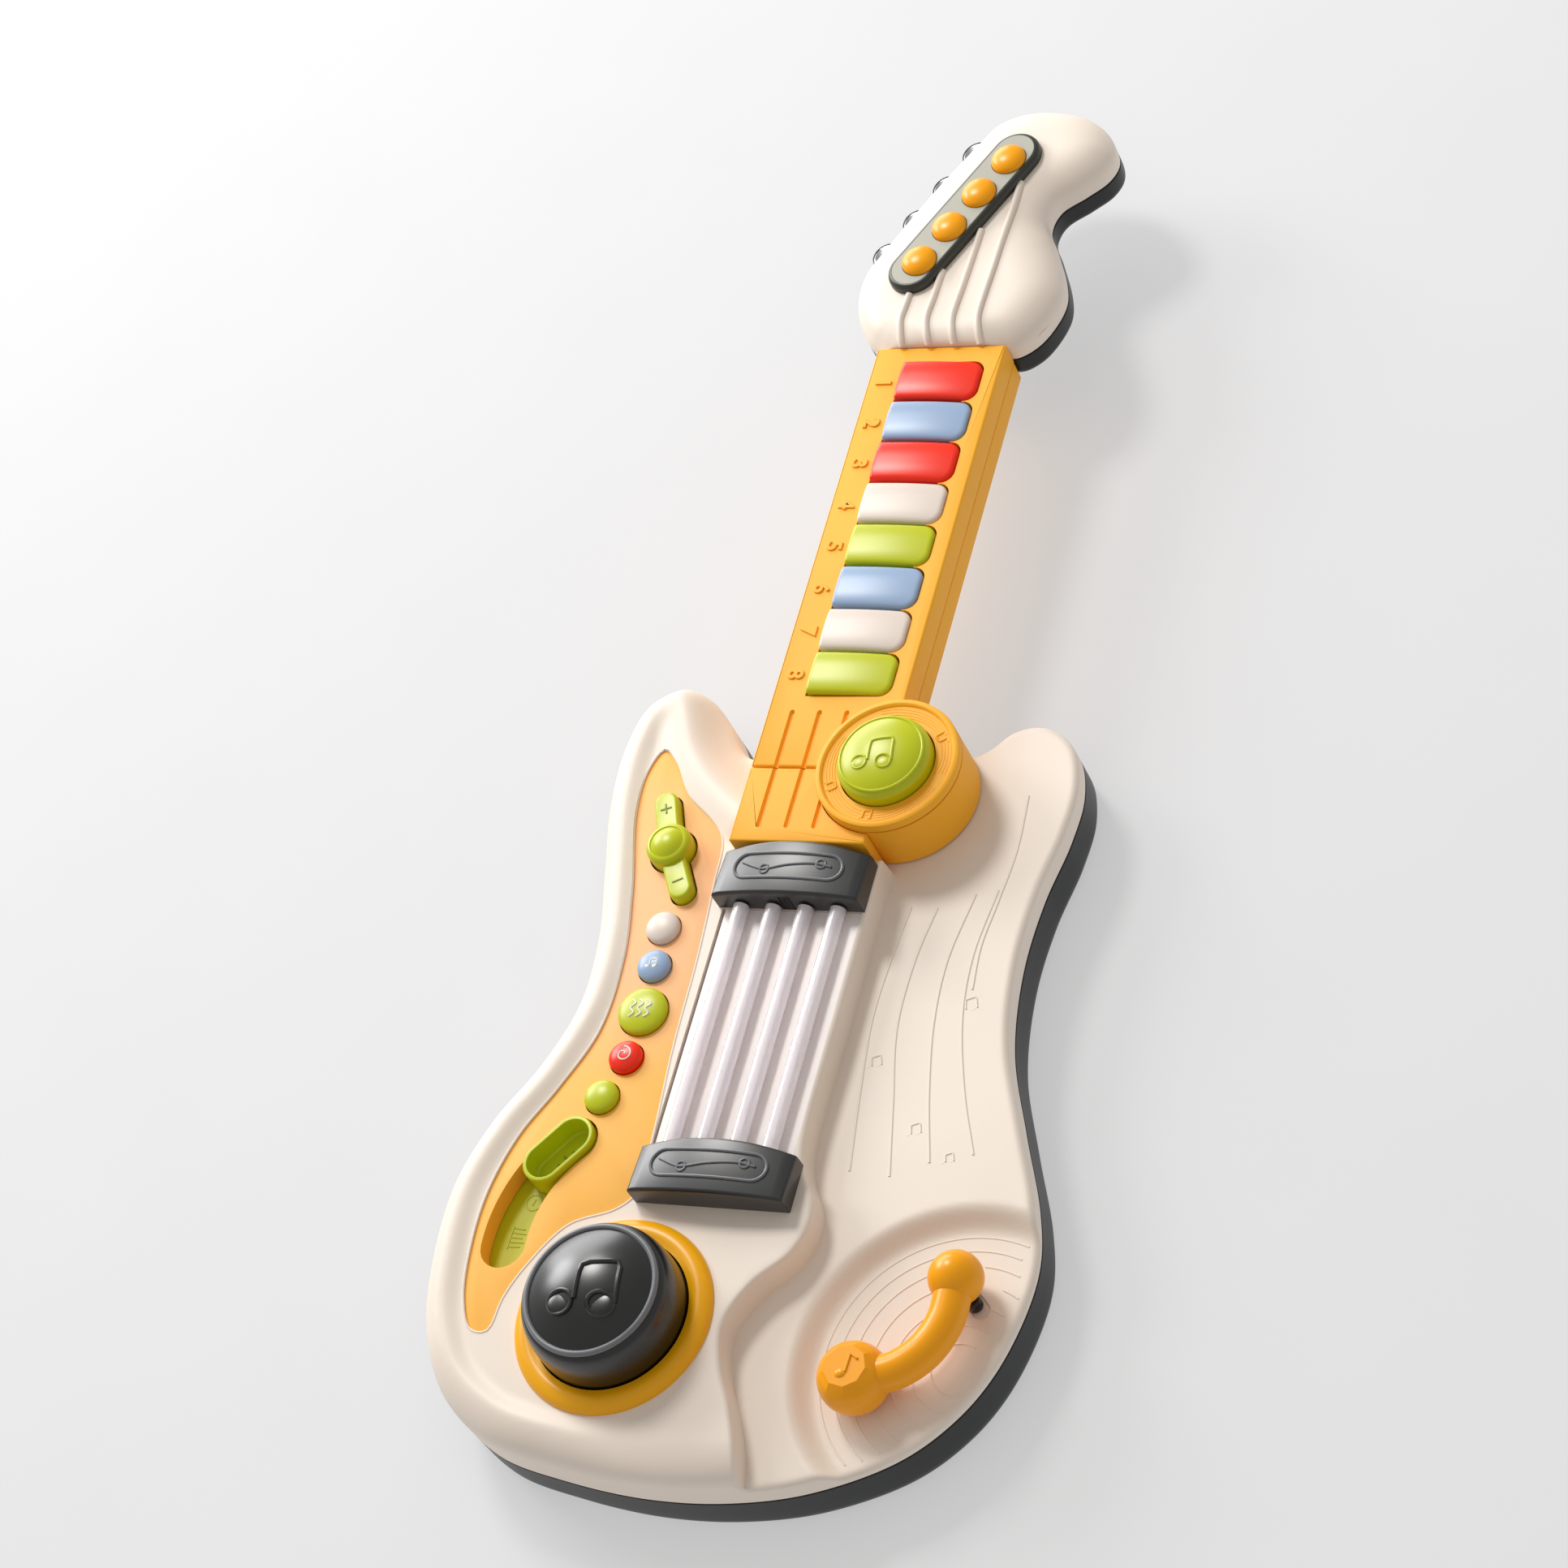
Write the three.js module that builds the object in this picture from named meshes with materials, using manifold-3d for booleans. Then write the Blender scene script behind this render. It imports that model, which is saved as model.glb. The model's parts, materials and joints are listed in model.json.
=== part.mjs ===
// Toy electric guitar with a folding neck: the neck, its headstock and its keyboard swing flat
// over the body about a round pivot. Millimetres. It lies on its back: +Z is the playing face,
// +Y runs along the neck to the headstock, and the model is centred over its own footprint.
// Inside this file x and y count from the pivot axis, and z counts from the flat back.
import * as THREE from 'three';
import { mergeVertices } from 'three/addons/utils/BufferGeometryUtils.js';
import Module from 'manifold-3d';

const wasm = await Module();
wasm.setup();

// ---------- driving dimensions ----------
const GAP = 0.3; // clearance between pieces that touch
const WALL = 2.4; // moulded wall thickness
const PARTING_Z = 19.5; // where the cream front shell meets the dark rear shell
const PLATE_Z = 28.4; // low plate that the folding neck sweeps over
const RIDGE_Z = 39; // raised half of the body: controls and strum bay
const FACE_Z = 49; // playing face of the neck and its stub
const NECK_BACK_Z = 29; // back of the neck, just above the plate
const NECK_PARTING_Z = 39;
const NECK = { left: -54.86, right: -1.98, nut: 190.5 };
const STUB_END_Y = -31.2;
const PIVOT_R = 27;
const PIVOT_CAP_TOP_Z = 52.85;
const BUTTON_TRAVEL = 1.5;
const KEY = { count: 8, pitch: 19.05, length: 17.75, left: -41.1, right: -8.6, first: 164.4, top: 51.2 };
const STRINGS = { count: 4, middle: -27, pitch: 12.5, r: 2.9 };
const BAY = { left: -53.3, right: -0.6, top: -53.7, bottom: -149.8, depth: 1.8 };
const DRUM = { x: -48.8, y: -213.3, bezelR: 35.9, r: 27.4, hole: 28.1, shoulderZ: 55.2, apexZ: 68 };
const DISH = { x: 70, y: -214, rimR: 58.3, floorR: 49.5, floorZ: 23.1 };
const ARM = { hub: [40, -224.8, 33.5], hubR: 11.5, ball: [67.2, -187.4, 35], ballR: 10.3, tubeR: 6.2 };
const SLIDER = { x: -47.4, y: -184.7, r: 52, from: 135, to: 186, halfWidth: 8.5, floorZ: 31.5 };
const CUP = { angle: 142.4, halfLength: 14.4, halfWidth: 7.9, topZ: 41.4 };
const ROCKER = {
  x: -80.9, y: -30.6, hubR: 8.6, reach: 19.6, upperTilt: 20.5, lowerTilt: 28, armWidth: 9, footZ: 36.4,
};
const TUNER = { first: [-43.4, 225.4], step: [8.33, 16.4], r: 6.9, topZ: 57.2 };
const TUNER_PLATE = { from: [-46, 222.8], to: [-17.4, 279], halfWidth: 10.2, bevel: 1.9 };
const HEAD_TOP_Z = 54;
const PEG = { first: [-64.5, 242.1], spacing: 18.8, count: 4, z: 39 };
const BATTERY = { x: -47, y: -122.5, halfX: 31.6, halfY: 28.1, r: 7.25, length: 50.5, pitch: 16.5 };
const SPEAKER = { x: 21, y: -100, r: 28.5 };

const BODY_POINTS = [
  [44.5, 32.5], [33, 30.5], [23.5, 21.5], [11, 17], [-12, 16], [-38, 15], [-58, 14], [-67.5, 15.5],
  [-77, 28], [-88.5, 39.5], [-98, 42.5], [-106.5, 38.8], [-113, 31.5], [-116.7, 12.5],
  [-114.8, -12.5], [-108.5, -40], [-102.6, -67], [-101.8, -94], [-109, -118], [-121, -141.5],
  [-128.2, -167.3], [-127, -198.5], [-121, -222.5], [-108, -244], [-87, -258.5], [-59.5, -265],
  [-27.8, -268.3], [1.4, -266.8], [29, -260.5], [57, -246.5], [72.5, -231], [82, -214],
  [87.9, -191.2], [88.6, -173.5], [84, -154.5], [72.4, -126.3], [60.8, -95.8], [56.3, -64],
  [57.5, -36], [61.8, -10.9], [62.3, 8], [56.5, 24.5],
];
const RIDGE_STEP = [
  [1.5, -31.6], [1.6, -90], [2.2, -146], [5.5, -155.5], [10.8, -164.5], [12, -174], [8.5, -185],
  [-2.5, -197], [-8.8, -212], [-6, -226], [2, -242], [7.5, -256], [11, -275],
];
const PANEL_POINTS = [
  [-97.2, 12.6], [-101.2, 3.7], [-100.8, -13.9], [-92.1, -48.2], [-87.2, -75.1], [-87.7, -104.9],
  [-96.6, -128.2], [-106.3, -148.1], [-111.4, -170.8], [-111, -192.7], [-107.5, -210.9],
  [-101.3, -222], [-94.9, -222.1], [-92.7, -209.7], [-88.6, -198.8], [-76.7, -180.8],
  [-60.2, -173.4], [-54.5, -167], [-54.8, -144.9], [-57.4, -109.9], [-58.5, -73.9],
  [-60.8, -43.8], [-63.5, -23.4], [-81.5, -6.5], [-90.6, 7.4],
];
const HEAD_POINTS = [
  [-5, 190.8], [0.5, 191.6], [7, 196.8], [11.7, 206], [13.6, 216], [11.3, 226], [4.5, 241], [-1, 252.5],
  [0.8, 262], [9.5, 269.5], [17, 277], [19.3, 285], [14.5, 295.8], [3.5, 304.5], [-14.8, 308.6],
  [-27, 306.5], [-34.8, 301.5], [-40, 293], [-53.3, 269], [-67.2, 239.5], [-71.3, 229.5],
  [-71.9, 219], [-68.3, 206.5], [-61, 196], [-55, 191.2], [-50, 190.8],
];
const PANEL_BUTTONS = [
  { x: -75, y: -63, r: 6.3, color: 'cream' }, { x: -73.9, y: -78.7, r: 6.2, color: 'blue' },
  { x: -72.8, y: -97.1, r: 9.2, color: 'lime' }, { x: -73.9, y: -115.6, r: 6.2, color: 'red' },
  { x: -78.6, y: -131.5, r: 6.3, color: 'lime' },
];
const KEY_COLORS = ['red', 'blue', 'red', 'cream', 'lime', 'blue', 'cream', 'lime'];
const CASE_SCREWS = [[-107, 8], [47, 2], [-112, -204], [-10, -250]];

// ---------- materials ----------
function plastic(color, roughness = 0.42) {
  return new THREE.MeshStandardMaterial({ color, roughness, metalness: 0 });
}
const MATERIAL = {
  cream: plastic(0xf0e6d8), dark: plastic(0x34373a, 0.5), orange: plastic(0xf3ab42),
  lime: plastic(0xb7c92b, 0.35), blue: plastic(0x9fbde8, 0.35), red: plastic(0xe8362a, 0.35),
  lavender: plastic(0xe3dcea, 0.3), clear: plastic(0xeef0f6, 0.1), board: plastic(0x2f7a4a, 0.6),
  rubber: plastic(0xd8d8d4, 0.8), battery: plastic(0x3c4fa0, 0.4),
  steel: new THREE.MeshStandardMaterial({ color: 0xb9bcc0, roughness: 0.35, metalness: 1 }),
};

// ---------- solids ----------
// Makes shared vertices one, drops empty triangles and turns every face outward.
function cleaned(geometry) {
  const bare = geometry.clone();
  bare.deleteAttribute('normal');
  bare.deleteAttribute('uv');
  const merged = mergeVertices(bare, 1e-4);
  const p = merged.attributes.position;
  const corner = (i) => new THREE.Vector3().fromBufferAttribute(p, i);
  let index = [];
  let volume = 0;
  for (let i = 0; i < merged.index.count; i += 3) {
    const [a, b, c] = [0, 1, 2].map((k) => merged.index.getX(i + k));
    if (a === b || b === c || a === c) continue;
    index.push(a, b, c);
    volume += corner(a).dot(corner(b).cross(corner(c)));
  }
  if (volume < 0) index = index.reverse();
  merged.setIndex(index);
  return merged;
}

function solid(geometry) {
  const mesh = cleaned(geometry);
  return new wasm.Manifold(new wasm.Mesh({
    numProp: 3,
    vertProperties: mesh.attributes.position.array,
    triVerts: new Uint32Array(mesh.index.array),
  }));
}

function geometryOf(manifold) {
  const mesh = manifold.getMesh();
  const geometry = new THREE.BufferGeometry();
  geometry.setAttribute('position', new THREE.BufferAttribute(mesh.vertProperties, 3));
  geometry.setIndex(new THREE.BufferAttribute(mesh.triVerts, 1));
  return geometry;
}

const cut = (base, ...tools) =>
  geometryOf(tools.reduce((left, tool) => left.subtract(solid(tool)), solid(base)));
const join = (...parts) =>
  geometryOf(parts.slice(1).reduce((sum, part) => sum.add(solid(part)), solid(parts[0])));
const common = (a, b) => geometryOf(solid(a).intersect(solid(b)));

// ---------- outlines: counterclockwise loops of [x, y] ----------
function smoothLoop(points, count) {
  const corners = points.map(([x, y]) => new THREE.Vector3(x, y, 0));
  const curve = new THREE.CatmullRomCurve3(corners, true, 'centripetal');
  return curve.getSpacedPoints(count).slice(0, count).map(({ x, y }) => [x, y]);
}

function smoothLine(points, count) {
  const corners = points.map(([x, y]) => new THREE.Vector3(x, y, 0));
  const curve = new THREE.CatmullRomCurve3(corners, false, 'centripetal');
  return curve.getSpacedPoints(count).map(({ x, y }) => [x, y]);
}

// Moves a loop inward by a distance, or outward where the distance is negative.
function inset(loop, distance) {
  const n = loop.length;
  const normal = (a, b) => {
    const length = Math.hypot(b[0] - a[0], b[1] - a[1]);
    return [(a[1] - b[1]) / length, (b[0] - a[0]) / length];
  };
  return loop.map((point, i) => {
    const before = normal(loop[(i + n - 1) % n], point);
    const after = normal(point, loop[(i + 1) % n]);
    const share = distance / (1 + before[0] * after[0] + before[1] * after[1]);
    return [point[0] + (before[0] + after[0]) * share, point[1] + (before[1] + after[1]) * share];
  });
}

function circleLoop(x, y, r, sides) {
  return Array.from({ length: sides }, (_, i) => {
    const angle = (2 * Math.PI * i) / sides;
    return [x + r * Math.cos(angle), y + r * Math.sin(angle)];
  });
}

// A straight slot shape with round ends, from a to b.
function racetrack(a, b, r, sides = 8) {
  const heading = Math.atan2(b[1] - a[1], b[0] - a[0]);
  const end = (centre, start) => Array.from({ length: sides + 1 }, (_, i) => {
    const angle = start + (Math.PI * i) / sides;
    return [centre[0] + r * Math.cos(angle), centre[1] + r * Math.sin(angle)];
  });
  return [...end(b, heading - Math.PI / 2), ...end(a, heading + Math.PI / 2)];
}

// A slot bent around a centre, with round ends; angles are in degrees.
function arcSlot({ x, y, r, from, to }, halfWidth, steps = 12, endSides = 8) {
  const at = (radius, degrees) => {
    const angle = THREE.MathUtils.degToRad(degrees);
    return [x + radius * Math.cos(angle), y + radius * Math.sin(angle)];
  };
  const outer = Array.from({ length: steps + 1 }, (_, i) => at(r + halfWidth, from + ((to - from) * i) / steps));
  const inner = Array.from({ length: steps + 1 }, (_, i) => at(r - halfWidth, to + ((from - to) * i) / steps));
  const round = (degrees, turn) => Array.from({ length: endSides - 1 }, (_, i) => {
    const [cx, cy] = at(r, degrees);
    const angle = THREE.MathUtils.degToRad(degrees + turn + (180 * (i + 1)) / endSides);
    return [cx + halfWidth * Math.cos(angle), cy + halfWidth * Math.sin(angle)];
  });
  return [...outer, ...round(to, 0), ...inner, ...round(from, 180)];
}

// ---------- basic shapes, placed in the model ----------
// A closed body through matching loops at rising heights.
function loft(...rings) {
  const n = rings[0][1].length;
  const position = rings.flatMap(([z, loop]) => loop.flatMap(([x, y]) => [x, y, z]));
  const index = [];
  for (let ring = 0; ring + 1 < rings.length; ring++) {
    for (let i = 0; i < n; i++) {
      const a = ring * n + i;
      const b = ring * n + ((i + 1) % n);
      index.push(a, b, b + n, a, b + n, a + n);
    }
  }
  const cap = (loop, start, upward) => {
    const contour = loop.map(([x, y]) => new THREE.Vector2(x, y));
    for (const [a, b, c] of THREE.ShapeUtils.triangulateShape(contour, [])) {
      const [p, q, r] = [contour[a], contour[b], contour[c]];
      const turn = (q.x - p.x) * (r.y - p.y) - (q.y - p.y) * (r.x - p.x);
      if (turn > 0 === upward) index.push(start + a, start + b, start + c);
      else index.push(start + a, start + c, start + b);
    }
  };
  cap(rings[0][1], 0, false);
  cap(rings.at(-1)[1], (rings.length - 1) * n, true);
  const geometry = new THREE.BufferGeometry();
  geometry.setAttribute('position', new THREE.Float32BufferAttribute(position, 3));
  geometry.setIndex(index);
  return geometry;
}

const prism = (loop, z0, z1) => loft([z0, loop], [z1, loop]);

function block(x0, x1, y0, y1, z0, z1) {
  return new THREE.BoxGeometry(x1 - x0, y1 - y0, z1 - z0)
    .translate((x0 + x1) / 2, (y0 + y1) / 2, (z0 + z1) / 2);
}

const disc = (x, y, r, z0, z1, sides = 32) => prism(circleLoop(x, y, r, sides), z0, z1);

// A body turned about a vertical axis from [radius, z] points that start and end on the axis.
function turned(x, y, profile, sides = 32) {
  return new THREE.LatheGeometry(profile.map(([r, z]) => new THREE.Vector2(r, z)), sides)
    .rotateX(Math.PI / 2).translate(x, y, 0);
}

// The profile of a button: a straight side from z0, then a low dome from edgeZ to apexZ.
function domeProfile(r, z0, edgeZ, apexZ, steps = 5) {
  const arc = Array.from({ length: steps }, (_, i) => {
    const angle = (Math.PI / 2) * (i / steps);
    return [r * Math.cos(angle), edgeZ + (apexZ - edgeZ) * Math.sin(angle)];
  });
  return [[0, z0], [r, z0], ...arc, [0, apexZ]];
}

// A bar with its (y, z) section along x.
function barAlongX(section, x0, x1) {
  const shape = new THREE.Shape(section.map(([y, z]) => new THREE.Vector2(y, z)));
  return new THREE.ExtrudeGeometry(shape, { depth: x1 - x0, bevelEnabled: false })
    .rotateX(Math.PI / 2).rotateZ(Math.PI / 2).translate(x0, 0, 0);
}

function pipe(points, r, steps, sides = 10) {
  const path = new THREE.CatmullRomCurve3(points.map((p) => new THREE.Vector3(...p)));
  const ring = new THREE.Shape(circleLoop(0, 0, r, sides).map(([x, y]) => new THREE.Vector2(x, y)));
  return new THREE.ExtrudeGeometry(ring, { steps, extrudePath: path, bevelEnabled: false });
}

const ball = ([x, y, z], r) => new THREE.SphereGeometry(r, 20, 12).rotateX(Math.PI / 2).translate(x, y, z);

// ---------- shared outlines ----------
const bodyLoop = smoothLoop(BODY_POINTS, 96);
const panelLoop = smoothLoop(PANEL_POINTS, 64);
const headLoop = smoothLoop(HEAD_POINTS, 64);
const ridgeLoop = [...smoothLine(RIDGE_STEP, 36), [-200, -300], [-200, 100], [NECK.left - 2 * GAP, 100],
  [NECK.left - 2 * GAP, STUB_END_Y - GAP]].reverse();
const stringX = Array.from({ length: STRINGS.count }, (_, i) =>
  STRINGS.middle + (i - (STRINGS.count - 1) / 2) * STRINGS.pitch);

// ---------- body ----------
const BAY_FLOOR_Z = RIDGE_Z - BAY.depth;
const ROOF_Z = PLATE_Z - 2.5; // inner face of the low plate
const RIDGE_ROOF_Z = RIDGE_Z - 4.2; // inner face of the raised half
const SLOT_WALL = 1.2;
const SCREW = { headR: 3, shaftR: 1.4, seatZ: 5 };
const trackArc = { ...SLIDER, halfWidth: undefined };
const armSlot = { x: ARM.hub[0], y: ARM.hub[1], r: 46.2, from: 44, to: 64 };

function bodyFrontShell() {
  const low = loft([PARTING_Z, bodyLoop], [PLATE_Z - 2, bodyLoop], [PLATE_Z, inset(bodyLoop, 2)]);
  const high = loft([PARTING_Z, bodyLoop], [31, bodyLoop], [35.8, inset(bodyLoop, 2)],
    [RIDGE_Z, inset(bodyLoop, 6.5)]);
  const raised = common(high, prism(ridgeLoop, PARTING_Z - 1, RIDGE_Z + 1));
  const lowRoom = prism(inset(bodyLoop, WALL), PARTING_Z - 1, ROOF_Z);
  const highRoom = common(
    loft([PARTING_Z - 1, inset(bodyLoop, WALL)], [29.5, inset(bodyLoop, WALL)],
      [RIDGE_ROOF_Z, inset(bodyLoop, 5.4)]),
    prism(inset(ridgeLoop, WALL), PARTING_Z - 2, RIDGE_Z));
  const dishFloor = common(disc(DISH.x, DISH.y, DISH.rimR + 2, DISH.floorZ - 2.5, ROOF_Z + 0.5, 48),
    prism(inset(bodyLoop, 1), PARTING_Z, PLATE_Z));
  const dish = turned(DISH.x, DISH.y, [[0, DISH.floorZ], [DISH.floorR, DISH.floorZ],
    [DISH.floorR + 3, DISH.floorZ + 1], [DISH.rimR - 3, PLATE_Z - 0.8], [DISH.rimR, PLATE_Z],
    [DISH.rimR, PLATE_Z + 2], [0, PLATE_Z + 2]], 48);
  const bosses = CASE_SCREWS.map(([x, y]) =>
    disc(x, y, 4, PARTING_Z, (x < 0 ? RIDGE_ROOF_Z : ROOF_Z) + 0.8, 12));
  const shell = join(cut(join(low, raised), lowRoom, highRoom), dishFloor, ...bosses);
  return cut(shell, dish,
    prism(inset(panelLoop, -GAP), RIDGE_Z - 1.8, RIDGE_Z + 2),
    block(BAY.left - GAP, BAY.right + GAP, BAY.bottom - GAP, BAY.top + GAP, BAY_FLOOR_Z, RIDGE_Z + 2),
    disc(DRUM.x, DRUM.y, DRUM.hole, 30, 42, 40),
    prism(arcSlot(trackArc, SLIDER.halfWidth + SLOT_WALL + GAP), 30, 42),
    rockerOpening(),
    ...PANEL_BUTTONS.map(({ x, y, r }) => disc(x, y, r + 0.5, 30, 42, 20)),
    disc(0, 0, 6.8, 20, 32, 24),
    disc(...ARM.hub.slice(0, 2), 5.4, 18, 25, 16),
    prism(arcSlot(armSlot, 3.2, 6, 6), 18, 25),
    ...CASE_SCREWS.map(([x, y]) => disc(x, y, SCREW.shaftR + GAP, PARTING_Z - 1, ROOF_Z - 1, 10)));
}

function bodyRearShell() {
  const top = PARTING_Z - GAP;
  const outer = loft([0, inset(bodyLoop, 6.5)], [2.2, inset(bodyLoop, 2.4)], [7.5, bodyLoop], [top, bodyLoop]);
  const room = loft([2.6, inset(bodyLoop, 6.8)], [8, inset(bodyLoop, WALL)], [top + 1, inset(bodyLoop, WALL)]);
  const { x, y, halfX, halfY } = BATTERY;
  const box = block(x - halfX - 1.6, x + halfX + 1.6, y - halfY - 1.6, y + halfY + 1.6, 1, top);
  const cells = block(x - halfX, x + halfX, y - halfY, y + halfY, -1, 17.7);
  const doorPost = block(x - 3, x + 3, y + halfY - 4, y + halfY + 1, 2.7, 18);
  const bosses = CASE_SCREWS.map(([sx, sy]) => disc(sx, sy, 5, 2, top, 12));
  const slots = Array.from({ length: 7 }, (_, i) => {
    const across = (i - 3) * 7;
    const half = Math.sqrt((SPEAKER.r - 4) ** 2 - across ** 2);
    return block(SPEAKER.x - half, SPEAKER.x + half, SPEAKER.y + across - 1.6, SPEAKER.y + across + 1.6, -1, 4);
  });
  return cut(join(cut(join(cut(outer, room), box), cells), doorPost, ...bosses),
    disc(x, y + halfY - 2, 1.3, 2, 14, 10), ...slots,
    ...CASE_SCREWS.map(([sx, sy]) => disc(sx, sy, SCREW.headR + 0.4, -1, SCREW.seatZ, 16)),
    ...CASE_SCREWS.map(([sx, sy]) => disc(sx, sy, SCREW.shaftR + GAP, 4, top + 1, 10)));
}

function batteryDoor() {
  const { x, y, halfX, halfY } = BATTERY;
  return cut(block(x - halfX + GAP, x + halfX - GAP, y - halfY + GAP, y + halfY - GAP, 0.2, 2.4),
    disc(x, y + halfY - 2, 1.2, -1, 3, 10), disc(x, y + halfY - 2, 2.2, -1, 1.4, 12));
}

function batteryDoorScrew() {
  return turned(BATTERY.x, BATTERY.y + BATTERY.halfY - 2,
    [[0, 0.3], [1.9, 0.3], [1.9, 1.1], [0.9, 1.1], [0.9, 12], [0, 12]], 12);
}

function battery(i) {
  const y = BATTERY.y + (i - 1) * BATTERY.pitch;
  const can = new THREE.CylinderGeometry(BATTERY.r, BATTERY.r, BATTERY.length - 1.5, 16).rotateZ(Math.PI / 2);
  const tip = new THREE.CylinderGeometry(2.7, 2.7, BATTERY.length, 10).rotateZ(Math.PI / 2);
  return join(can.translate(BATTERY.x - 0.75, y, 10.2), tip.translate(BATTERY.x, y, 10.2));
}

function caseScrew([x, y]) {
  return turned(x, y, [[0, 2.6], [SCREW.headR, 2.6], [SCREW.headR, SCREW.seatZ - GAP],
    [SCREW.shaftR, SCREW.seatZ - GAP], [SCREW.shaftR, ROOF_Z - 2], [0, ROOF_Z - 2]], 12);
}

function speaker() {
  const { x, y, r } = SPEAKER;
  return turned(x, y, [[0, 3], [r, 3], [r, 5.5], [r - 3, 5.5], [17, 13.5], [14.5, 13.5],
    [14.5, 21.5], [0, 21.5]], 28);
}

// ---------- controls on the body ----------
function controlPanel() {
  const plate = prism(panelLoop, RIDGE_Z - 1.5, RIDGE_Z);
  const skirt = prism(arcSlot(trackArc, SLIDER.halfWidth + SLOT_WALL), SLIDER.floorZ, RIDGE_Z - 0.1);
  return cut(join(plate, skirt), prism(arcSlot(trackArc, SLIDER.halfWidth), 28, 42), rockerOpening(),
    ...PANEL_BUTTONS.map(({ x, y, r }) => disc(x, y, r + 0.5, 30, 42, 20)));
}

const modeTrack = () => prism(arcSlot(trackArc, SLIDER.halfWidth + SLOT_WALL), SLIDER.floorZ - 2.2,
  SLIDER.floorZ - GAP);

function modeSlider() {
  const angle = THREE.MathUtils.degToRad(CUP.angle);
  const centre = [SLIDER.x + SLIDER.r * Math.cos(angle), SLIDER.y + SLIDER.r * Math.sin(angle)];
  const along = [-Math.sin(angle), Math.cos(angle)];
  const end = (side, reach) => centre.map((value, k) => value + side * reach * along[k]);
  const reach = CUP.halfLength - CUP.halfWidth;
  const outline = (r) => racetrack(end(-1, reach), end(1, reach), r);
  return cut(prism(outline(CUP.halfWidth), SLIDER.floorZ + 0.1, CUP.topZ),
    loft([SLIDER.floorZ + 1.8, outline(CUP.halfWidth - 2.6)], [CUP.topZ + 1, outline(CUP.halfWidth - 1.6)]));
}

function rockerArms(spare, z0, z1) {
  const hub = [ROCKER.x, ROCKER.y];
  const arm = (side, degrees) => {
    const tilt = THREE.MathUtils.degToRad(degrees);
    const tip = [hub[0] - side * ROCKER.reach * Math.sin(tilt), hub[1] + side * ROCKER.reach * Math.cos(tilt)];
    return prism(racetrack(hub, tip, ROCKER.armWidth / 2 + spare), z0, z1);
  };
  return join(arm(1, ROCKER.upperTilt), arm(-1, ROCKER.lowerTilt));
}

const rockerOpening = () => join(rockerArms(0.8, 30, 42), disc(ROCKER.x, ROCKER.y, ROCKER.hubR + 0.8, 30, 42, 28));

function volumeRocker() {
  const { x, y, hubR, footZ } = ROCKER;
  return join(rockerArms(0, footZ, 43.6), turned(x, y, [[0, footZ], [hubR, footZ], [hubR, 44.6],
    [hubR - 1.6, 45.6], [6.4, 46], [3.6, 47.2], [0, 47.6]], 28));
}

const panelButton = ({ x, y, r }) => turned(x, y, domeProfile(r, 33.6, RIDGE_Z + 1, RIDGE_Z + 3.6), 20);

function drumBezel() {
  const { x, y, bezelR, hole } = DRUM;
  return cut(turned(x, y, [[0, RIDGE_Z + GAP], [bezelR, RIDGE_Z + GAP], [bezelR, RIDGE_Z + 1.6],
    [bezelR - 1.6, RIDGE_Z + 2.8], [0, RIDGE_Z + 2.8]], 48), disc(x, y, hole, 35, 45, 40));
}

function drumButton() {
  const { x, y, r, shoulderZ, apexZ } = DRUM;
  return cut(turned(x, y, domeProfile(r, 33.5, shoulderZ, apexZ, 6), 40),
    turned(x, y, [[0, 30], [r - 2.4, 30], [r - 2.4, shoulderZ], [r - 9, 62], [0, apexZ - 2.4]], 24));
}

function tremoloArm() {
  const [hx, hy, hz] = ARM.hub;
  const [bx, by, bz] = ARM.ball;
  const tube = pipe([[hx + 6, hy + 0.9, hz], [55, -219.8, 34], [63.6, -211.8, 34.2], [67.3, -201, 34.6],
    [bx + 0.3, by - 5, bz]], ARM.tubeR, 12);
  const hub = cut(ball(ARM.hub, ARM.hubR), block(hx - 20, hx + 20, hy - 20, hy + 20, 0, DISH.floorZ + 0.6));
  return join(hub, tube, ball(ARM.ball, ARM.ballR), disc(hx, hy, 4.9, 17.5, 26, 16),
    disc(bx, by, 2.4, 19.5, 30, 12));
}

// ---------- strum bay ----------
const strumBed = () => block(BAY.left, BAY.right, BAY.bottom, BAY.top, BAY_FLOOR_Z + GAP, RIDGE_Z - 0.1);

function stringLight(x) {
  return new THREE.CylinderGeometry(STRINGS.r, STRINGS.r, BAY.top - BAY.bottom - 0.8, 14)
    .translate(x, (BAY.top + BAY.bottom) / 2, RIDGE_Z + 0.2 + STRINGS.r);
}

function bridge(yTop, yBottom, x0, x1) {
  return barAlongX([[yTop, RIDGE_Z + GAP], [yTop - 0.4, 47.6], [yTop - 2, 48.8], [yBottom + 2, 51.4],
    [yBottom + 0.5, 50.6], [yBottom, RIDGE_Z + GAP]].reverse(), x0, x1);
}

// A dark window that watches the strum bay, let into the upper bridge.
const SENSOR = { x0: -29.6, x1: -25.8, y0: -53.2, y1: -50.4, z0: 40, z1: 47.5 };

function upperBridge() {
  const { x0, x1, y1, z0, z1 } = SENSOR;
  return cut(bridge(-31.8, -53.4, -55, 0.8), block(x0 - GAP, x1 + GAP, -55, y1 + GAP, z0 - GAP, z1 + GAP));
}

const strumSensor = () => block(SENSOR.x0, SENSOR.x1, SENSOR.y0, SENSOR.y1, SENSOR.z0, SENSOR.z1);

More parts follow.
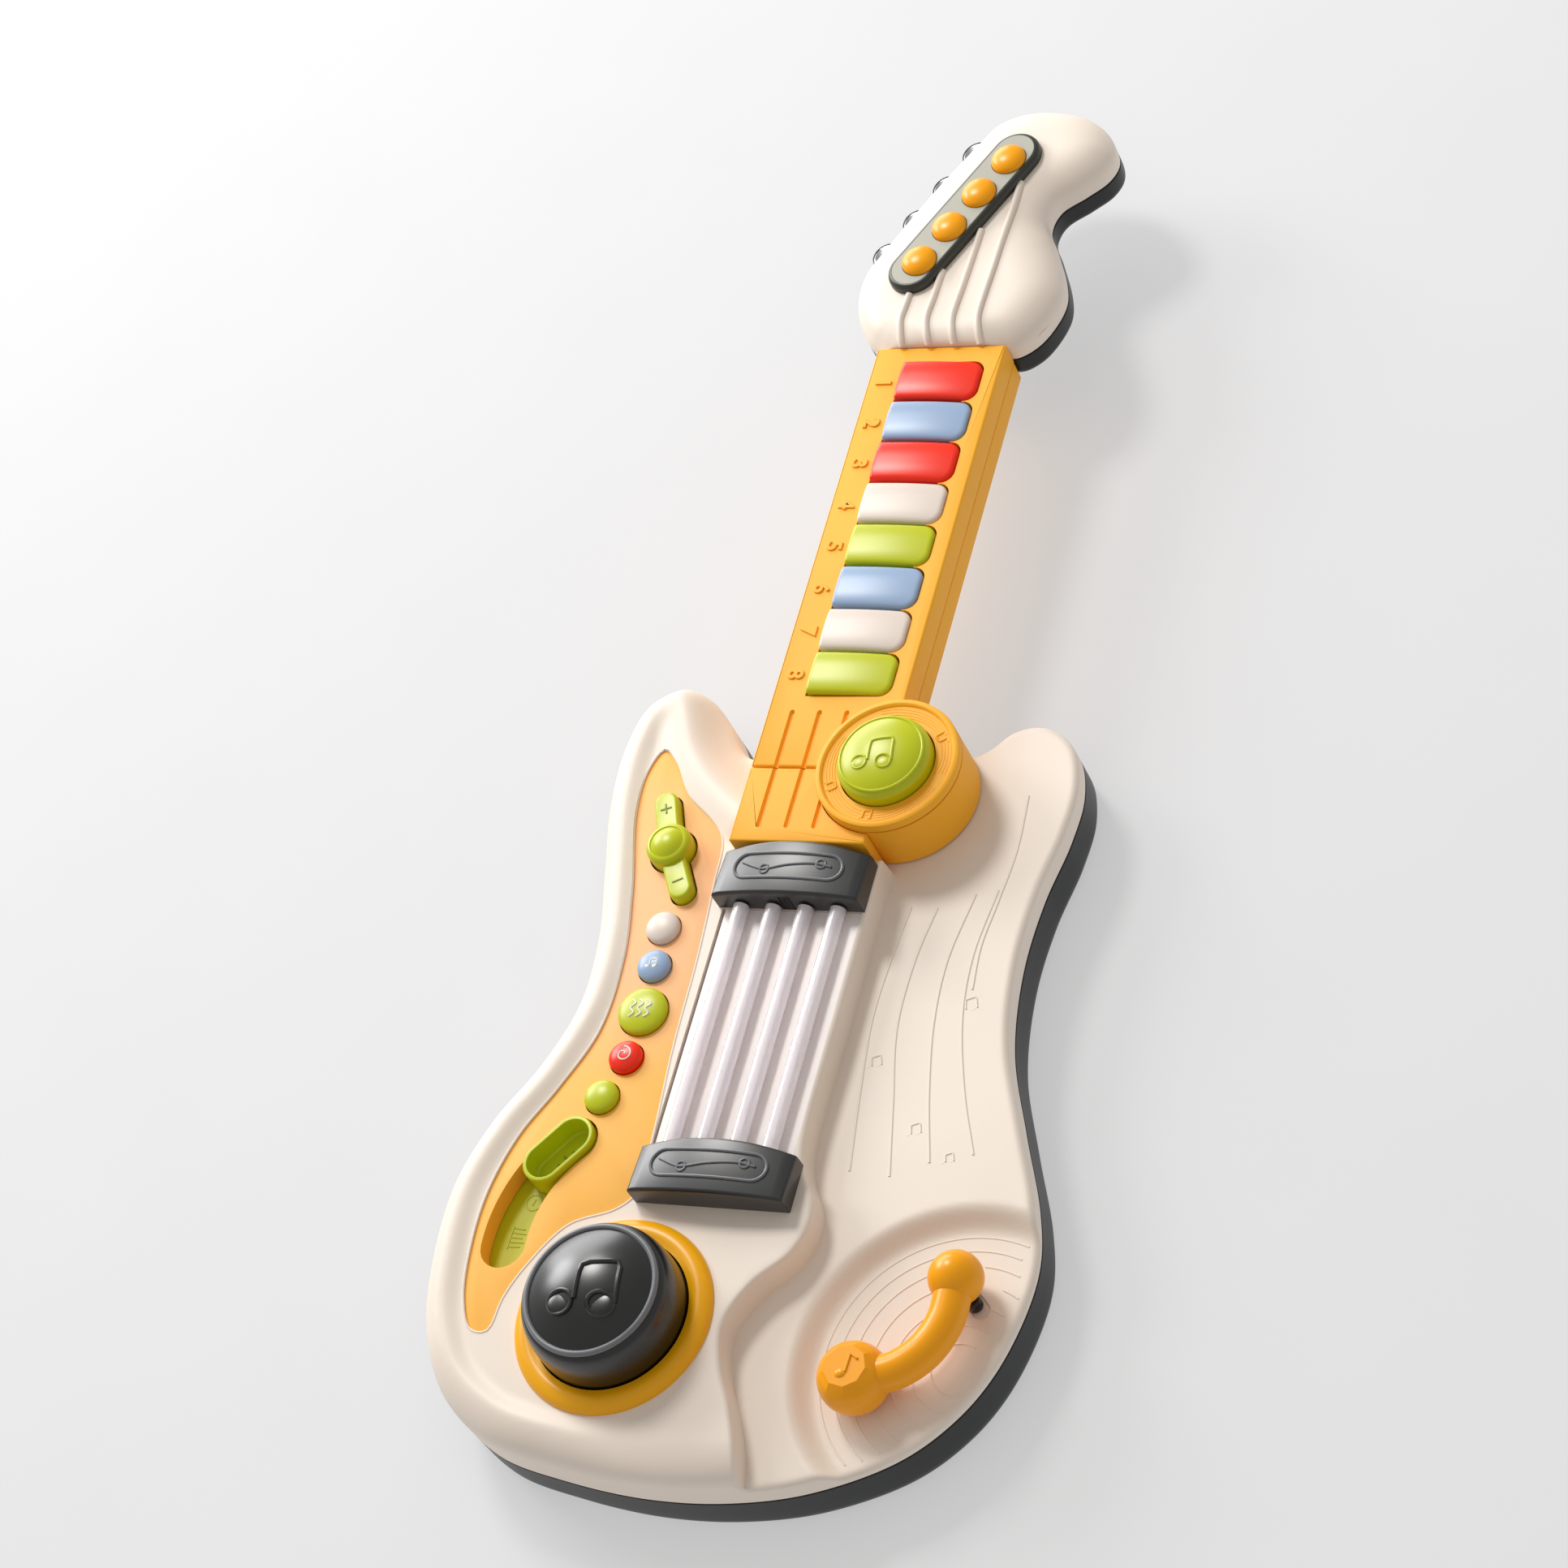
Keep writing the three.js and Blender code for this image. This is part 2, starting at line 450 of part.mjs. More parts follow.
// ---------- neck stub and folding neck ----------
function neckStub() {
  const { left, right } = NECK;
  const top = -GAP;
  const outer = block(left, right, STUB_END_Y, top, PLATE_Z + GAP, FACE_Z);
  const room = block(left + WALL, right - WALL, STUB_END_Y + WALL, top - WALL, PLATE_Z, FACE_Z - WALL);
  const well = disc(0, 0, PIVOT_R + 0.4, PLATE_Z, FACE_Z + 1, 64);
  const wellWall = common(disc(0, 0, PIVOT_R + 0.4 + WALL, PLATE_Z + GAP, FACE_Z - 1, 64), outer);
  return cut(join(cut(outer, room), wellWall), well, ...stringX.slice(0, 3).map((x) =>
    block(x - 0.6, x + 0.6, -25, 5, FACE_Z - 1, FACE_Z + 1)));
}

function neckFrontShell() {
  const { left, right, nut } = NECK;
  const end = nut - GAP;
  const outer = block(left, right, GAP, end, NECK_PARTING_Z, FACE_Z);
  const room = block(left + WALL, right - WALL, GAP + WALL, end - WALL, NECK_PARTING_Z - 1, FACE_Z - 2.2);
  const barrel = disc(0, 0, PIVOT_R, NECK_BACK_Z, FACE_Z + 0.2, 64);
  const window = block(KEY.left - 0.6, KEY.right + 0.6, KEY.first + KEY.length + 0.7,
    KEY.first - (KEY.count - 1) * KEY.pitch - 0.7, NECK_PARTING_Z, FACE_Z + 1);
  const grooves = stringX.slice(0, 3).map((x) => block(x - 0.6, x + 0.6, -1, 24, FACE_Z - 1, FACE_Z + 1));
  return cut(join(cut(outer, room), barrel), window, ...grooves,
    disc(0, 0, 23.5, 42, FACE_Z + 1, 48), disc(0, 0, 6.9, NECK_BACK_Z - 1, 43, 24),
    cut(disc(0, 0, 24.5, NECK_BACK_Z - 1, 38.5, 48), disc(0, 0, 10, NECK_BACK_Z - 2, 40, 24)));
}

function neckRearShell() {
  const { left, right, nut } = NECK;
  const end = nut - GAP;
  const top = NECK_PARTING_Z - GAP;
  const outer = block(left, right, GAP, end, NECK_BACK_Z, top);
  const room = block(left + WALL, right - WALL, GAP + WALL, end - WALL, NECK_BACK_Z + WALL, top + 1);
  const wellWall = common(disc(0, 0, PIVOT_R + GAP + WALL, NECK_BACK_Z, top, 64), outer);
  return cut(join(cut(outer, room), wellWall), disc(0, 0, PIVOT_R + GAP, NECK_BACK_Z - 1, top + 1, 64));
}

const pivotSpindle = () => turned(0, 0, [[0, 22.6], [11, 22.6], [11, ROOF_Z - GAP], [6.5, ROOF_Z - GAP],
  [6.5, 42.3], [10, 42.3], [10, 44.2], [0, 44.2]], 24);

function pivotCap() {
  return cut(turned(0, 0, [[0, FACE_Z + 0.5], [PIVOT_R, FACE_Z + 0.5], [PIVOT_R, PIVOT_CAP_TOP_Z - 0.8],
    [PIVOT_R - 0.8, PIVOT_CAP_TOP_Z], [0, PIVOT_CAP_TOP_Z]], 64), disc(0, 0, 18.1, 45, 55, 40));
}

const pivotButton = () => turned(0, 0, domeProfile(17.6, 46.2, 55.4, 61.4, 6), 36);

// Keys have round corners at the free side, and a tongue under the shell at the hinge side.
function key(i) {
  const y0 = KEY.first - i * KEY.pitch;
  const y1 = y0 + KEY.length;
  const r = 5;
  const corner = (cx, cy, start) => Array.from({ length: 5 }, (_, k) => {
    const angle = THREE.MathUtils.degToRad(start + (90 * k) / 4);
    return [cx + r * Math.cos(angle), cy + r * Math.sin(angle)];
  });
  const loop = [[KEY.left, y0], ...corner(KEY.right - r, y0 + r, -90), ...corner(KEY.right - r, y1 - r, 0),
    [KEY.left, y1]];
  return join(loft([44, loop], [KEY.top - 1.2, loop], [KEY.top, inset(loop, 1.2)]),
    block(KEY.left - 3.5, KEY.left + 3, y0 + 1.5, y1 - 1.5, 44, 45.8));
}

const keyRubberStrip = () => block(-45, -5.6, 30.4, 182, 38.9, 41.2);
const neckBoard = () => block(-50, -6, 32, 184, 36.4, 38);
const mainBoard = () => block(-95, -15, -150, -50, 21.6, 23.2);

// ---------- headstock ----------
const tunerAt = (i) => TUNER.first.map((value, k) => value + i * TUNER.step[k]);
const edgeAngle = Math.atan2(TUNER.step[1], TUNER.step[0]);
const pegAt = (i) => [PEG.first[0] + i * PEG.spacing * Math.cos(edgeAngle),
  PEG.first[1] + i * PEG.spacing * Math.sin(edgeAngle)];

// Turns a shape made along +X so that it points out of the headstock's straight edge at peg i.
const atPeg = (geometry, i) => geometry.rotateZ(edgeAngle + Math.PI / 2).translate(...pegAt(i), PEG.z);
const pegShaft = (r, x0, x1) => new THREE.CylinderGeometry(r, r, x1 - x0, 12)
  .rotateZ(Math.PI / 2).translate((x0 + x1) / 2, 0, 0);
const pegBores = () => Array.from({ length: PEG.count }, (_, i) => atPeg(pegShaft(1.8, -6, 8), i));

function headstockFrontShell() {
  const outer = loft([NECK_PARTING_Z + 0.1, headLoop], [47, headLoop], [50.6, inset(headLoop, 1.6)],
    [HEAD_TOP_Z, inset(headLoop, 6)]);
  const room = loft([NECK_PARTING_Z - 1, inset(headLoop, WALL)], [46, inset(headLoop, WALL)],
    [HEAD_TOP_Z - WALL, inset(headLoop, 6.6)]);
  const holes = Array.from({ length: 4 }, (_, i) => disc(...tunerAt(i), TUNER.r + 0.4, 45, 60, 16));
  return cut(outer, room, ...holes, ...pegBores());
}

function headstockRearShell() {
  const top = NECK_PARTING_Z - 0.2;
  const outer = loft([NECK_BACK_Z, inset(headLoop, 4)], [NECK_BACK_Z + 1.4, inset(headLoop, 1.4)],
    [NECK_BACK_Z + 4, headLoop], [top, headLoop]);
  const room = loft([NECK_BACK_Z + WALL, inset(headLoop, 4.6)], [NECK_BACK_Z + 6, inset(headLoop, WALL)],
    [top + 1, inset(headLoop, WALL)]);
  return cut(outer, room, ...pegBores());
}

function tunerPlate() {
  const { from, to, halfWidth, bevel } = TUNER_PLATE;
  const outline = racetrack(from, to, halfWidth, 10);
  const plate = loft([HEAD_TOP_Z + GAP, outline], [HEAD_TOP_Z + 1.4, outline],
    [TUNER.topZ - 0.5, inset(outline, bevel - 1)], [TUNER.topZ, inset(outline, bevel)]);
  return cut(plate, ...Array.from({ length: 4 }, (_, i) => disc(...tunerAt(i), TUNER.r + 0.4, 50, 60, 16)));
}

const tunerButton = (i) => turned(...tunerAt(i), domeProfile(TUNER.r, 49, 58, 61.2, 4), 18);

function tuningPeg(i) {
  const paddle = cut(disc(2.8, 0, 5.8, -1.5, 1.5, 24), block(-10, 2.2, -10, 10, -5, 5));
  return atPeg(join(pegShaft(1.5, -5, 4.5), paddle), i);
}

// ---------- assembly ----------
const guitar = new THREE.Group();

function add(name, geometry, material) {
  const mesh = new THREE.Mesh(geometryOf(solid(geometry)), MATERIAL[material]);
  mesh.name = name;
  guitar.add(mesh);
}

add('body_rear_shell', bodyRearShell(), 'dark');
add('body_front_shell', bodyFrontShell(), 'cream');
add('control_panel', controlPanel(), 'orange');
add('drum_bezel', drumBezel(), 'orange');
add('drum_button', drumButton(), 'dark');
add('neck_stub', neckStub(), 'orange');
add('upper_bridge', upperBridge(), 'dark');
add('lower_bridge', bridge(-150, -170.6, -53.8, 4.6), 'dark');
add('strum_bed', strumBed(), 'lavender');
add('strum_sensor', strumSensor(), 'dark');
stringX.forEach((x, i) => add(`string_light_${i + 1}`, stringLight(x), 'clear'));
add('volume_rocker', volumeRocker(), 'lime');
PANEL_BUTTONS.forEach((button, i) => add(`panel_button_${i + 1}`, panelButton(button), button.color));
add('mode_track', modeTrack(), 'lime');
add('mode_slider', modeSlider(), 'lime');
add('tremolo_arm', tremoloArm(), 'orange');
add('pivot_spindle', pivotSpindle(), 'steel');
add('main_circuit_board', mainBoard(), 'board');
add('speaker', speaker(), 'steel');
add('battery_door', batteryDoor(), 'dark');
add('battery_door_screw', batteryDoorScrew(), 'steel');
for (let i = 0; i < 3; i++) add(`battery_${i + 1}`, battery(i), 'battery');
CASE_SCREWS.forEach((place, i) => add(`case_screw_${i + 1}`, caseScrew(place), 'steel'));
add('neck_front_shell', neckFrontShell(), 'orange');
add('neck_rear_shell', neckRearShell(), 'orange');
add('pivot_cap', pivotCap(), 'orange');
add('pivot_button', pivotButton(), 'lime');
KEY_COLORS.forEach((color, i) => add(`key_${i + 1}`, key(i), color));
add('key_rubber_strip', keyRubberStrip(), 'rubber');
add('neck_circuit_board', neckBoard(), 'board');
add('headstock_front_shell', headstockFrontShell(), 'cream');
add('headstock_rear_shell', headstockRearShell(), 'dark');
add('tuner_plate', tunerPlate(), 'dark');
for (let i = 0; i < 4; i++) add(`tuner_button_${i + 1}`, tunerButton(i), 'orange');
for (let i = 0; i < PEG.count; i++) add(`tuning_peg_${i + 1}`, tuningPeg(i), 'steel');

// The origin is the middle of the footprint, on the surface that the guitar lies on.
const footprint = new THREE.Box3().setFromObject(guitar).getCenter(new THREE.Vector3());
guitar.position.set(-footprint.x, -footprint.y, 0);

export default guitar;
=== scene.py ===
"""A toy electric guitar with a folding neck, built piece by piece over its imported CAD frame.

Lengths are in millimetres and counted as in the CAD: x and y from the neck's pivot axis, z from the flat
back. place() turns them into the frame's metres.
"""
import json
from math import atan2, cos, degrees, hypot, pi, radians, sin, sqrt

import bmesh
import bpy
import numpy as np
from mathutils import Matrix, Vector
from mathutils.geometry import delaunay_2d_cdt


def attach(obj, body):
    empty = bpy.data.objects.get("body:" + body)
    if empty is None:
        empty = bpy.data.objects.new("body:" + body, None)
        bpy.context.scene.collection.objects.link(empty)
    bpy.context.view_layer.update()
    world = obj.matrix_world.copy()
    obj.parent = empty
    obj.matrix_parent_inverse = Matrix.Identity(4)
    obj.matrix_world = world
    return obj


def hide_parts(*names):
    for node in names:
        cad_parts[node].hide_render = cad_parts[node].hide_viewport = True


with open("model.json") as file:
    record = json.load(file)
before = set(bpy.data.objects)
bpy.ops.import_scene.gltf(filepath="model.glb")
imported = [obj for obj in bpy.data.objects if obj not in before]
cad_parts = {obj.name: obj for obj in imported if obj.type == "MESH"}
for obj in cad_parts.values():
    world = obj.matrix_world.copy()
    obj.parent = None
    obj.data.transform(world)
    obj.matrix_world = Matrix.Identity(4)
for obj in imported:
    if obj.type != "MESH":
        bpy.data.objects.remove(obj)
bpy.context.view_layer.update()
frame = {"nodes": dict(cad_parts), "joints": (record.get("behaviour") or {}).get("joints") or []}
nodes = frame["nodes"]
PIVOT = next(j for j in frame["joints"] if j["name"] == "neck_fold")["pos_m"]


def place(x, y, z):
    return (x / 1000 + PIVOT[0], y / 1000 + PIVOT[1], z / 1000)


def in_scene(name, data):
    obj = bpy.data.objects.new(name, data)
    bpy.context.scene.collection.objects.link(obj)
    return obj


# ---- camera
camera = in_scene("camera", bpy.data.cameras.new("camera"))
CAMERA_RIGHT = Vector((0.90022, 0.25077, -0.35597))
CAMERA_UP = Vector((-0.01746, 0.83764, 0.54594))
CAMERA_BACK = Vector((0.43509, -0.48525, 0.75844))
camera.matrix_world = Matrix.Translation(place(583.9, -702.5, 1135.7)) @ Matrix(
    (CAMERA_RIGHT, CAMERA_UP, CAMERA_BACK)).transposed().to_4x4()
camera.data.lens = 92.6
camera.data.sensor_width = 36
camera.data.clip_start = 0.05
camera.data.clip_end = 50
bpy.context.scene.camera = camera


# ---- materials
CLOUD_SCALE, GRAIN_SCALE, GRAIN_DEPTH = 18, 2500, 0.0003


def linear(color):
    return [c / 12.92 if c <= 0.04045 else ((c + 0.055) / 1.055) ** 2.4 for c in (v / 255 for v in color)]


def set_inputs(node, **values):
    for key, value in values.items():
        node.inputs[key.replace("_", " ")].default_value = value


def plastic(name, color, roughness=0.4, grain=0.02, mottle=0.03, coat=0.0, **sockets):
    """Moulded plastic: faint cloudy colour changes and a fine surface grain."""
    material = bpy.data.materials.new(name)
    material.use_nodes = True
    tree = material.node_tree
    shader = tree.nodes["Principled BSDF"]
    set_inputs(shader, Roughness=roughness, Coat_Weight=coat, **sockets)
    place_in = tree.nodes.new("ShaderNodeTexCoord")

    def noise(scale):
        node = tree.nodes.new("ShaderNodeTexNoise")
        set_inputs(node, Scale=scale, Detail=2)
        tree.links.new(place_in.outputs["Object"], node.inputs["Vector"])
        return node.outputs["Fac"]

    ramp = tree.nodes.new("ShaderNodeValToRGB")
    for element, position, share in zip(ramp.color_ramp.elements, (0.3, 0.7), (1 - mottle, 1 + mottle)):
        element.position = position
        element.color = [*(min(1, c * share) for c in linear(color)), 1]
    tree.links.new(noise(CLOUD_SCALE), ramp.inputs["Fac"])
    tree.links.new(ramp.outputs["Color"], shader.inputs["Base Color"])
    if grain:
        bump = tree.nodes.new("ShaderNodeBump")
        set_inputs(bump, Strength=grain, Distance=GRAIN_DEPTH)
        tree.links.new(noise(GRAIN_SCALE), bump.inputs["Height"])
        tree.links.new(bump.outputs["Normal"], shader.inputs["Normal"])
    return material


def metal(name, color, roughness):
    return plastic(name, color, roughness, grain=0.01, mottle=0.02, Metallic=1.0)


def printed_panel(name, ends, middle):
    """The control panel's print: warm orange at both ends that fades to peach in the middle."""
    material = plastic(name, ends, roughness=0.5)
    tree = material.node_tree
    ramp = tree.nodes["Color Ramp"]
    spot = tree.nodes.new("ShaderNodeSeparateXYZ")
    tree.links.new(tree.nodes["Texture Coordinate"].outputs["Object"], spot.inputs["Vector"])
    along = tree.nodes.new("ShaderNodeMapRange")
    set_inputs(along, From_Min=PIVOT[1] - 0.22, From_Max=PIVOT[1] + 0.02)
    tree.links.new(spot.outputs["Y"], along.inputs["Value"])
    tree.links.new(along.outputs["Result"], ramp.inputs["Fac"])
    elements = ramp.color_ramp.elements
    for element, position in zip(elements, (0.40, 0.95)):
        element.position = position
        element.color = [*linear(ends), 1]
    for position in (0.56, 0.74):
        elements.new(position).color = [*linear(middle), 1]
    return material


CREAM = plastic("cream", (238, 225, 211), 0.42, Specular_IOR_Level=0.4)
DARK = plastic("dark", (22, 25, 25), 0.4, Specular_IOR_Level=0.4)
BRIDGE_GREY = plastic("bridge_grey", (20, 21, 23), 0.38, coat=0.6, Coat_Roughness=0.3)
DRUM_BLACK = plastic("drum_black", (9, 10, 11), 0.3, coat=0.5, Coat_Roughness=0.26)
LINE_GREY = plastic("line_grey", (112, 114, 118), 0.32)
ORANGE = plastic("orange", (255, 180, 40), 0.5, Specular_IOR_Level=0.3)
AMBER = plastic("amber", (255, 168, 0), 0.27, Specular_IOR_Level=0.35)
YELLOW = plastic("yellow", (248, 176, 6), 0.3, Specular_IOR_Level=0.35)
PANEL_PRINT = printed_panel("panel_print", (255, 186, 66), (254, 186, 122))
LIME = plastic("lime", (192, 200, 12), 0.31, Specular_IOR_Level=0.45)
# painted shade: a darker lime for small raised marks, standing in for the shade round them
LIME_PAINTED_SHADE = plastic("lime_painted_shade", (140, 156, 26), 0.4)
BLUE = plastic("blue", (152, 176, 208), 0.3, Specular_IOR_Level=0.45)
RED = plastic("red", (246, 42, 6), 0.28, Specular_IOR_Level=0.4)
PALE = plastic("pale", (226, 212, 200), 0.36)
LAVENDER = plastic("lavender", (246, 236, 232), 0.35)
PEWTER = plastic("pewter", (166, 167, 154), 0.42)
RIM_DARK = plastic("rim_dark", (50, 52, 44), 0.34)
PRINT_WHITE = plastic("print_white", (238, 240, 226), 0.5)
ROD = plastic("clear_rod", (255, 250, 254), 0.14, grain=0, mottle=0, Transmission_Weight=0.45, IOR=1.3)
CHROME = metal("chrome", (188, 190, 195), 0.2)
STEEL = metal("steel", (176, 178, 182), 0.34)
GUNMETAL = metal("gunmetal", (70, 72, 76), 0.25)
BOARD = plastic("board", (28, 112, 66), 0.5)
RUBBER = plastic("rubber", (214, 214, 208), 0.7)
SENSOR = plastic("sensor", (8, 8, 10), 0.14)
CELL = plastic("cell", (44, 62, 132), 0.3)
CONE = plastic("speaker_cone", (52, 54, 58), 0.6)


# ---- outlines: arrays of (x, y)
def quarter(steps):
    """The angles of a quarter turn, in even steps."""
    return [pi / 2 * i / steps for i in range(steps + 1)]


def rounding(steps):
    """A unit edge's rounding, from its side to its top: how far each point lies below and inside."""
    return [(1 - sin(a), 1 - cos(a)) for a in quarter(steps)]


def spaced(points, count, closed):
    """Points at even steps along a polyline."""
    line = np.array(points, float)
    if closed:
        line = np.vstack([line, line[:1]])
    steps = np.concatenate([[0], np.cumsum(np.linalg.norm(np.diff(line, axis=0), axis=1))])
    at = np.linspace(0, steps[-1], count + closed)[:count]
    return np.stack([np.interp(at, steps, line[:, k]) for k in range(line.shape[1])], 1)


def smooth(points, count, closed=True):
    """A centripetal Catmull-Rom curve through the points, resampled at even steps."""
    p = np.array(points, float)
    if closed:
        p = np.vstack([p[-1:], p, p[:2]])
    else:
        p = np.vstack([2 * p[0] - p[1], p, 2 * p[-1] - p[-2]])
    fine = []
    for k in range(len(p) - 3):
        p0, p1, p2, p3 = p[k:k + 4]
        t1 = np.linalg.norm(p1 - p0) ** 0.5 or 1
        t2 = t1 + (np.linalg.norm(p2 - p1) ** 0.5 or 1)
        t3 = t2 + (np.linalg.norm(p3 - p2) ** 0.5 or 1)
        for t in np.linspace(t1, t2, 16, endpoint=False):
            a1 = p0 * (t1 - t) / t1 + p1 * t / t1
            a2 = p1 * (t2 - t) / (t2 - t1) + p2 * (t - t1) / (t2 - t1)
            a3 = p2 * (t3 - t) / (t3 - t2) + p3 * (t - t2) / (t3 - t2)
            b1 = a1 * (t2 - t) / t2 + a2 * t / t2
            b2 = a2 * (t3 - t) / (t3 - t1) + a3 * (t - t1) / (t3 - t1)
            fine.append(b1 * (t2 - t) / (t2 - t1) + b2 * (t - t1) / (t2 - t1))
    if not closed:
        fine.append(p[-2])
    return spaced(fine, count, closed)


def inset(loop, distance):
    """Moves a counterclockwise loop inward."""
    loop = np.asarray(loop, float)
    edge = np.roll(loop, -1, 0) - loop
    normal = np.stack([-edge[:, 1], edge[:, 0]], 1) / np.linalg.norm(edge, axis=1)[:, None]
    before = np.roll(normal, 1, 0)
    share = distance / (1 + (before * normal).sum(1))
    return loop + (before + normal) * share[:, None]


def arc(x, y, r, start, end, steps):
    """Points on an arc from one angle to another, in degrees."""
    angle = np.radians(np.linspace(start, end, steps + 1))
    return np.stack([x + r * np.cos(angle), y + r * np.sin(angle)], 1)


def circle(x, y, r, sides=96):
    return arc(x, y, r, 0, 360, sides)[:-1]


def racetrack(a, b, r, sides=16):
    """A slot outline with round ends, from a to b."""
    turn = degrees(atan2(b[1] - a[1], b[0] - a[0]))
    return np.vstack([arc(*b, r, turn - 90, turn + 90, sides), arc(*a, r, turn + 90, turn + 270, sides)])


def arc_slot(x, y, r, start, end, half, steps=40, sides=12):
    """A slot outline bent round (x, y), with round ends; angles in degrees."""
    a, b = np.radians((start, end))
    return np.vstack([
        arc(x, y, r + half, start, end, steps),
        arc(x + r * np.cos(b), y + r * np.sin(b), half, end, end + 180, sides)[1:-1],
        arc(x, y, r - half, end, start, steps),
        arc(x + r * np.cos(a), y + r * np.sin(a), -half, start, start + 180, sides)[1:-1]])


def round_corners(x0, x1, y0, y1, left, right, steps):
    """A rectangle with round corners, of one radius on its left side and one on its right."""
    return np.vstack([
        arc(x1 - right, y0 + right, right, -90, 0, steps), arc(x1 - right, y1 - right, right, 0, 90, steps),
        arc(x0 + left, y1 - left, left, 90, 180, steps), arc(x0 + left, y0 + left, left, 180, 270, steps)])


def lifted(points, height, above=0.0):
    """Points carried up to a level, or to a surface given as height(x, y)."""
    return [(x, y, (height(x, y) if callable(height) else height) + above) for x, y in points]


def distance(points, line, closed=False):
    """Distance from each point to a polyline."""
    a = np.asarray(line, float)
    b = np.roll(a, -1, 0)
    if not closed:
        a, b = a[:-1], b[:-1]
    along = b - a
    length2 = np.maximum((along ** 2).sum(1), 1e-12)
    best = np.empty(len(points))
    for k in range(0, len(points), 4000):
        gap = points[k:k + 4000, None] - a
        t = np.clip((gap * along).sum(2) / length2, 0, 1)
        best[k:k + 4000] = np.sqrt(((gap - t[..., None] * along) ** 2).sum(2).min(1))
    return best


def inside(points, loop):
    a = np.asarray(loop, float)
    b = np.roll(a, -1, 0)
    odd = np.zeros(len(points), bool)
    for (ax, ay), (bx, by) in zip(a, b):
        if ay == by:
            continue
        crosses = (ay > points[:, 1]) != (by > points[:, 1])
        odd ^= crosses & (points[:, 0] < (bx - ax) * (points[:, 1] - ay) / (by - ay) + ax)
    return odd


def ease(low, high, value):
    t = np.clip((value - low) / (high - low), 0, 1)
    return t * t * (3 - 2 * t)


def round_over(depth, r):
    """How far an edge rounded to radius r drops below its top, at a distance in from the edge."""
    return r - np.sqrt(np.maximum(0, r ** 2 - (r - np.clip(depth, 0, r)) ** 2))


def swell(rise, power):
    """A pillow's rise from 0 at its edge to 1, steep at first."""
    return np.sqrt(np.maximum(0, 1 - (1 - np.clip(rise, 0, 1)) ** power))


# ---- meshes
def mesh_object(name, verts, faces):
    mesh = bpy.data.meshes.new(name)
    mesh.from_pydata([place(*v) for v in verts], [], [tuple(int(i) for i in f) for f in faces])
    mesh.validate()
    mesh.update()
    return in_scene(name, mesh)


def skin(rings):
    """Floor and walls through matching counterclockwise loops at rising heights; a height may be a list."""
    n = len(rings[0][1])
    verts = [(x, y, h) for z, loop in rings for (x, y), h in zip(loop, np.broadcast_to(z, n))]
    faces = [tuple(range(n))[::-1]]
    for k in range(len(rings) - 1):
        for i in range(n):
            a, b = k * n + i, k * n + (i + 1) % n
            faces.append((a, b, b + n, a + n))
    return verts, faces


def loft(name, rings):
    """A closed body through matching loops, with a flat top."""
    verts, faces = skin(rings)
    faces.append(tuple(range(len(verts) - len(rings[0][1]), len(verts))))
    return mesh_object(name, verts, faces)


def rounded(name, loop, low, high, top, bottom=0.0, steps=5):
    """A straight-sided body whose top and bottom edges are rounded."""
    rings = [(low, loop)]
    if bottom:
        rings = [(low + bottom * dz, inset(loop, bottom * d)) for dz, d in rounding(steps)[::-1]]
    rings += [(high - top * dz, inset(loop, top * d)) for dz, d in rounding(steps)]
    return loft(name, rings)


def turned(name, x, y, profile, sides=96):
    """A body turned about a vertical axis from (radius, z) points that start and end on the axis."""
    verts = [(x, y, profile[0][1])]
    angle = np.arange(sides) * 2 * pi / sides
    for r, z in profile[1:-1]:
        verts += [(x + r * cos(a), y + r * sin(a), z) for a in angle]
    verts.append((x, y, profile[-1][1]))
    last = len(verts) - 1
    faces = [(0, 1 + (i + 1) % sides, 1 + i) for i in range(sides)]
    for k in range(len(profile) - 3):
        for i in range(sides):
            a, b = 1 + k * sides + i, 1 + k * sides + (i + 1) % sides
            faces.append((a, b, b + sides, a + sides))
    start = 1 + (len(profile) - 3) * sides
    faces += [(start + i, start + (i + 1) % sides, last) for i in range(sides)]
    return mesh_object(name, verts, faces)


def prism(loop, low, high):
    return loft("tool", [(low, loop), (high, loop)])


def cylinder(x, y, r, low, high, sides=96):
    return turned("tool", x, y, [(0, low), (r, low), (r, high), (0, high)], sides)


def box(x0, x1, y0, y1, low, high):
    return prism([(x0, y0), (x1, y0), (x1, y1), (x0, y1)], low, high)


def tube(name, points, radius, sides=8, closed=False):
    """A round bar along a line of points."""
    p = [Vector(q) for q in points]
    n = len(p)
    verts, faces = [], []
    side = None
    for i in range(n):
        ahead = (p[(i + 1) % n] if closed or i + 1 < n else p[i]) - (p[i - 1] if closed or i else p[i])
        ahead.normalize()
        if side is None:
            side = ahead.cross(Vector((0, 0, 1)) if abs(ahead.z) < 0.9 else Vector((1, 0, 0))).normalized()
        side = (side - ahead * side.dot(ahead)).normalized()
        up = side.cross(ahead)
        for k in range(sides):
            a = 2 * pi * k / sides
            verts.append(p[i] + (side * cos(a) + up * sin(a)) * radius)
    for i in range(n if closed else n - 1):
        for k in range(sides):
            a, b = i * sides + k, i * sides + (k + 1) % sides
            c, d = (a + sides) % (n * sides), (b + sides) % (n * sides)
            faces.append((a, b, d, c))
    if not closed:
        faces.append(tuple(range(sides))[::-1])
        faces.append(tuple(range((n - 1) * sides, n * sides)))
    return mesh_object(name, [tuple(v) for v in verts], faces)


def relief(line, height, radius, above=0.0, sides=8, closed=False):
    """A fine bar laid along a line of (x, y) points on a surface."""
    return tube("tool", lifted(line, height, above), radius, sides, closed)


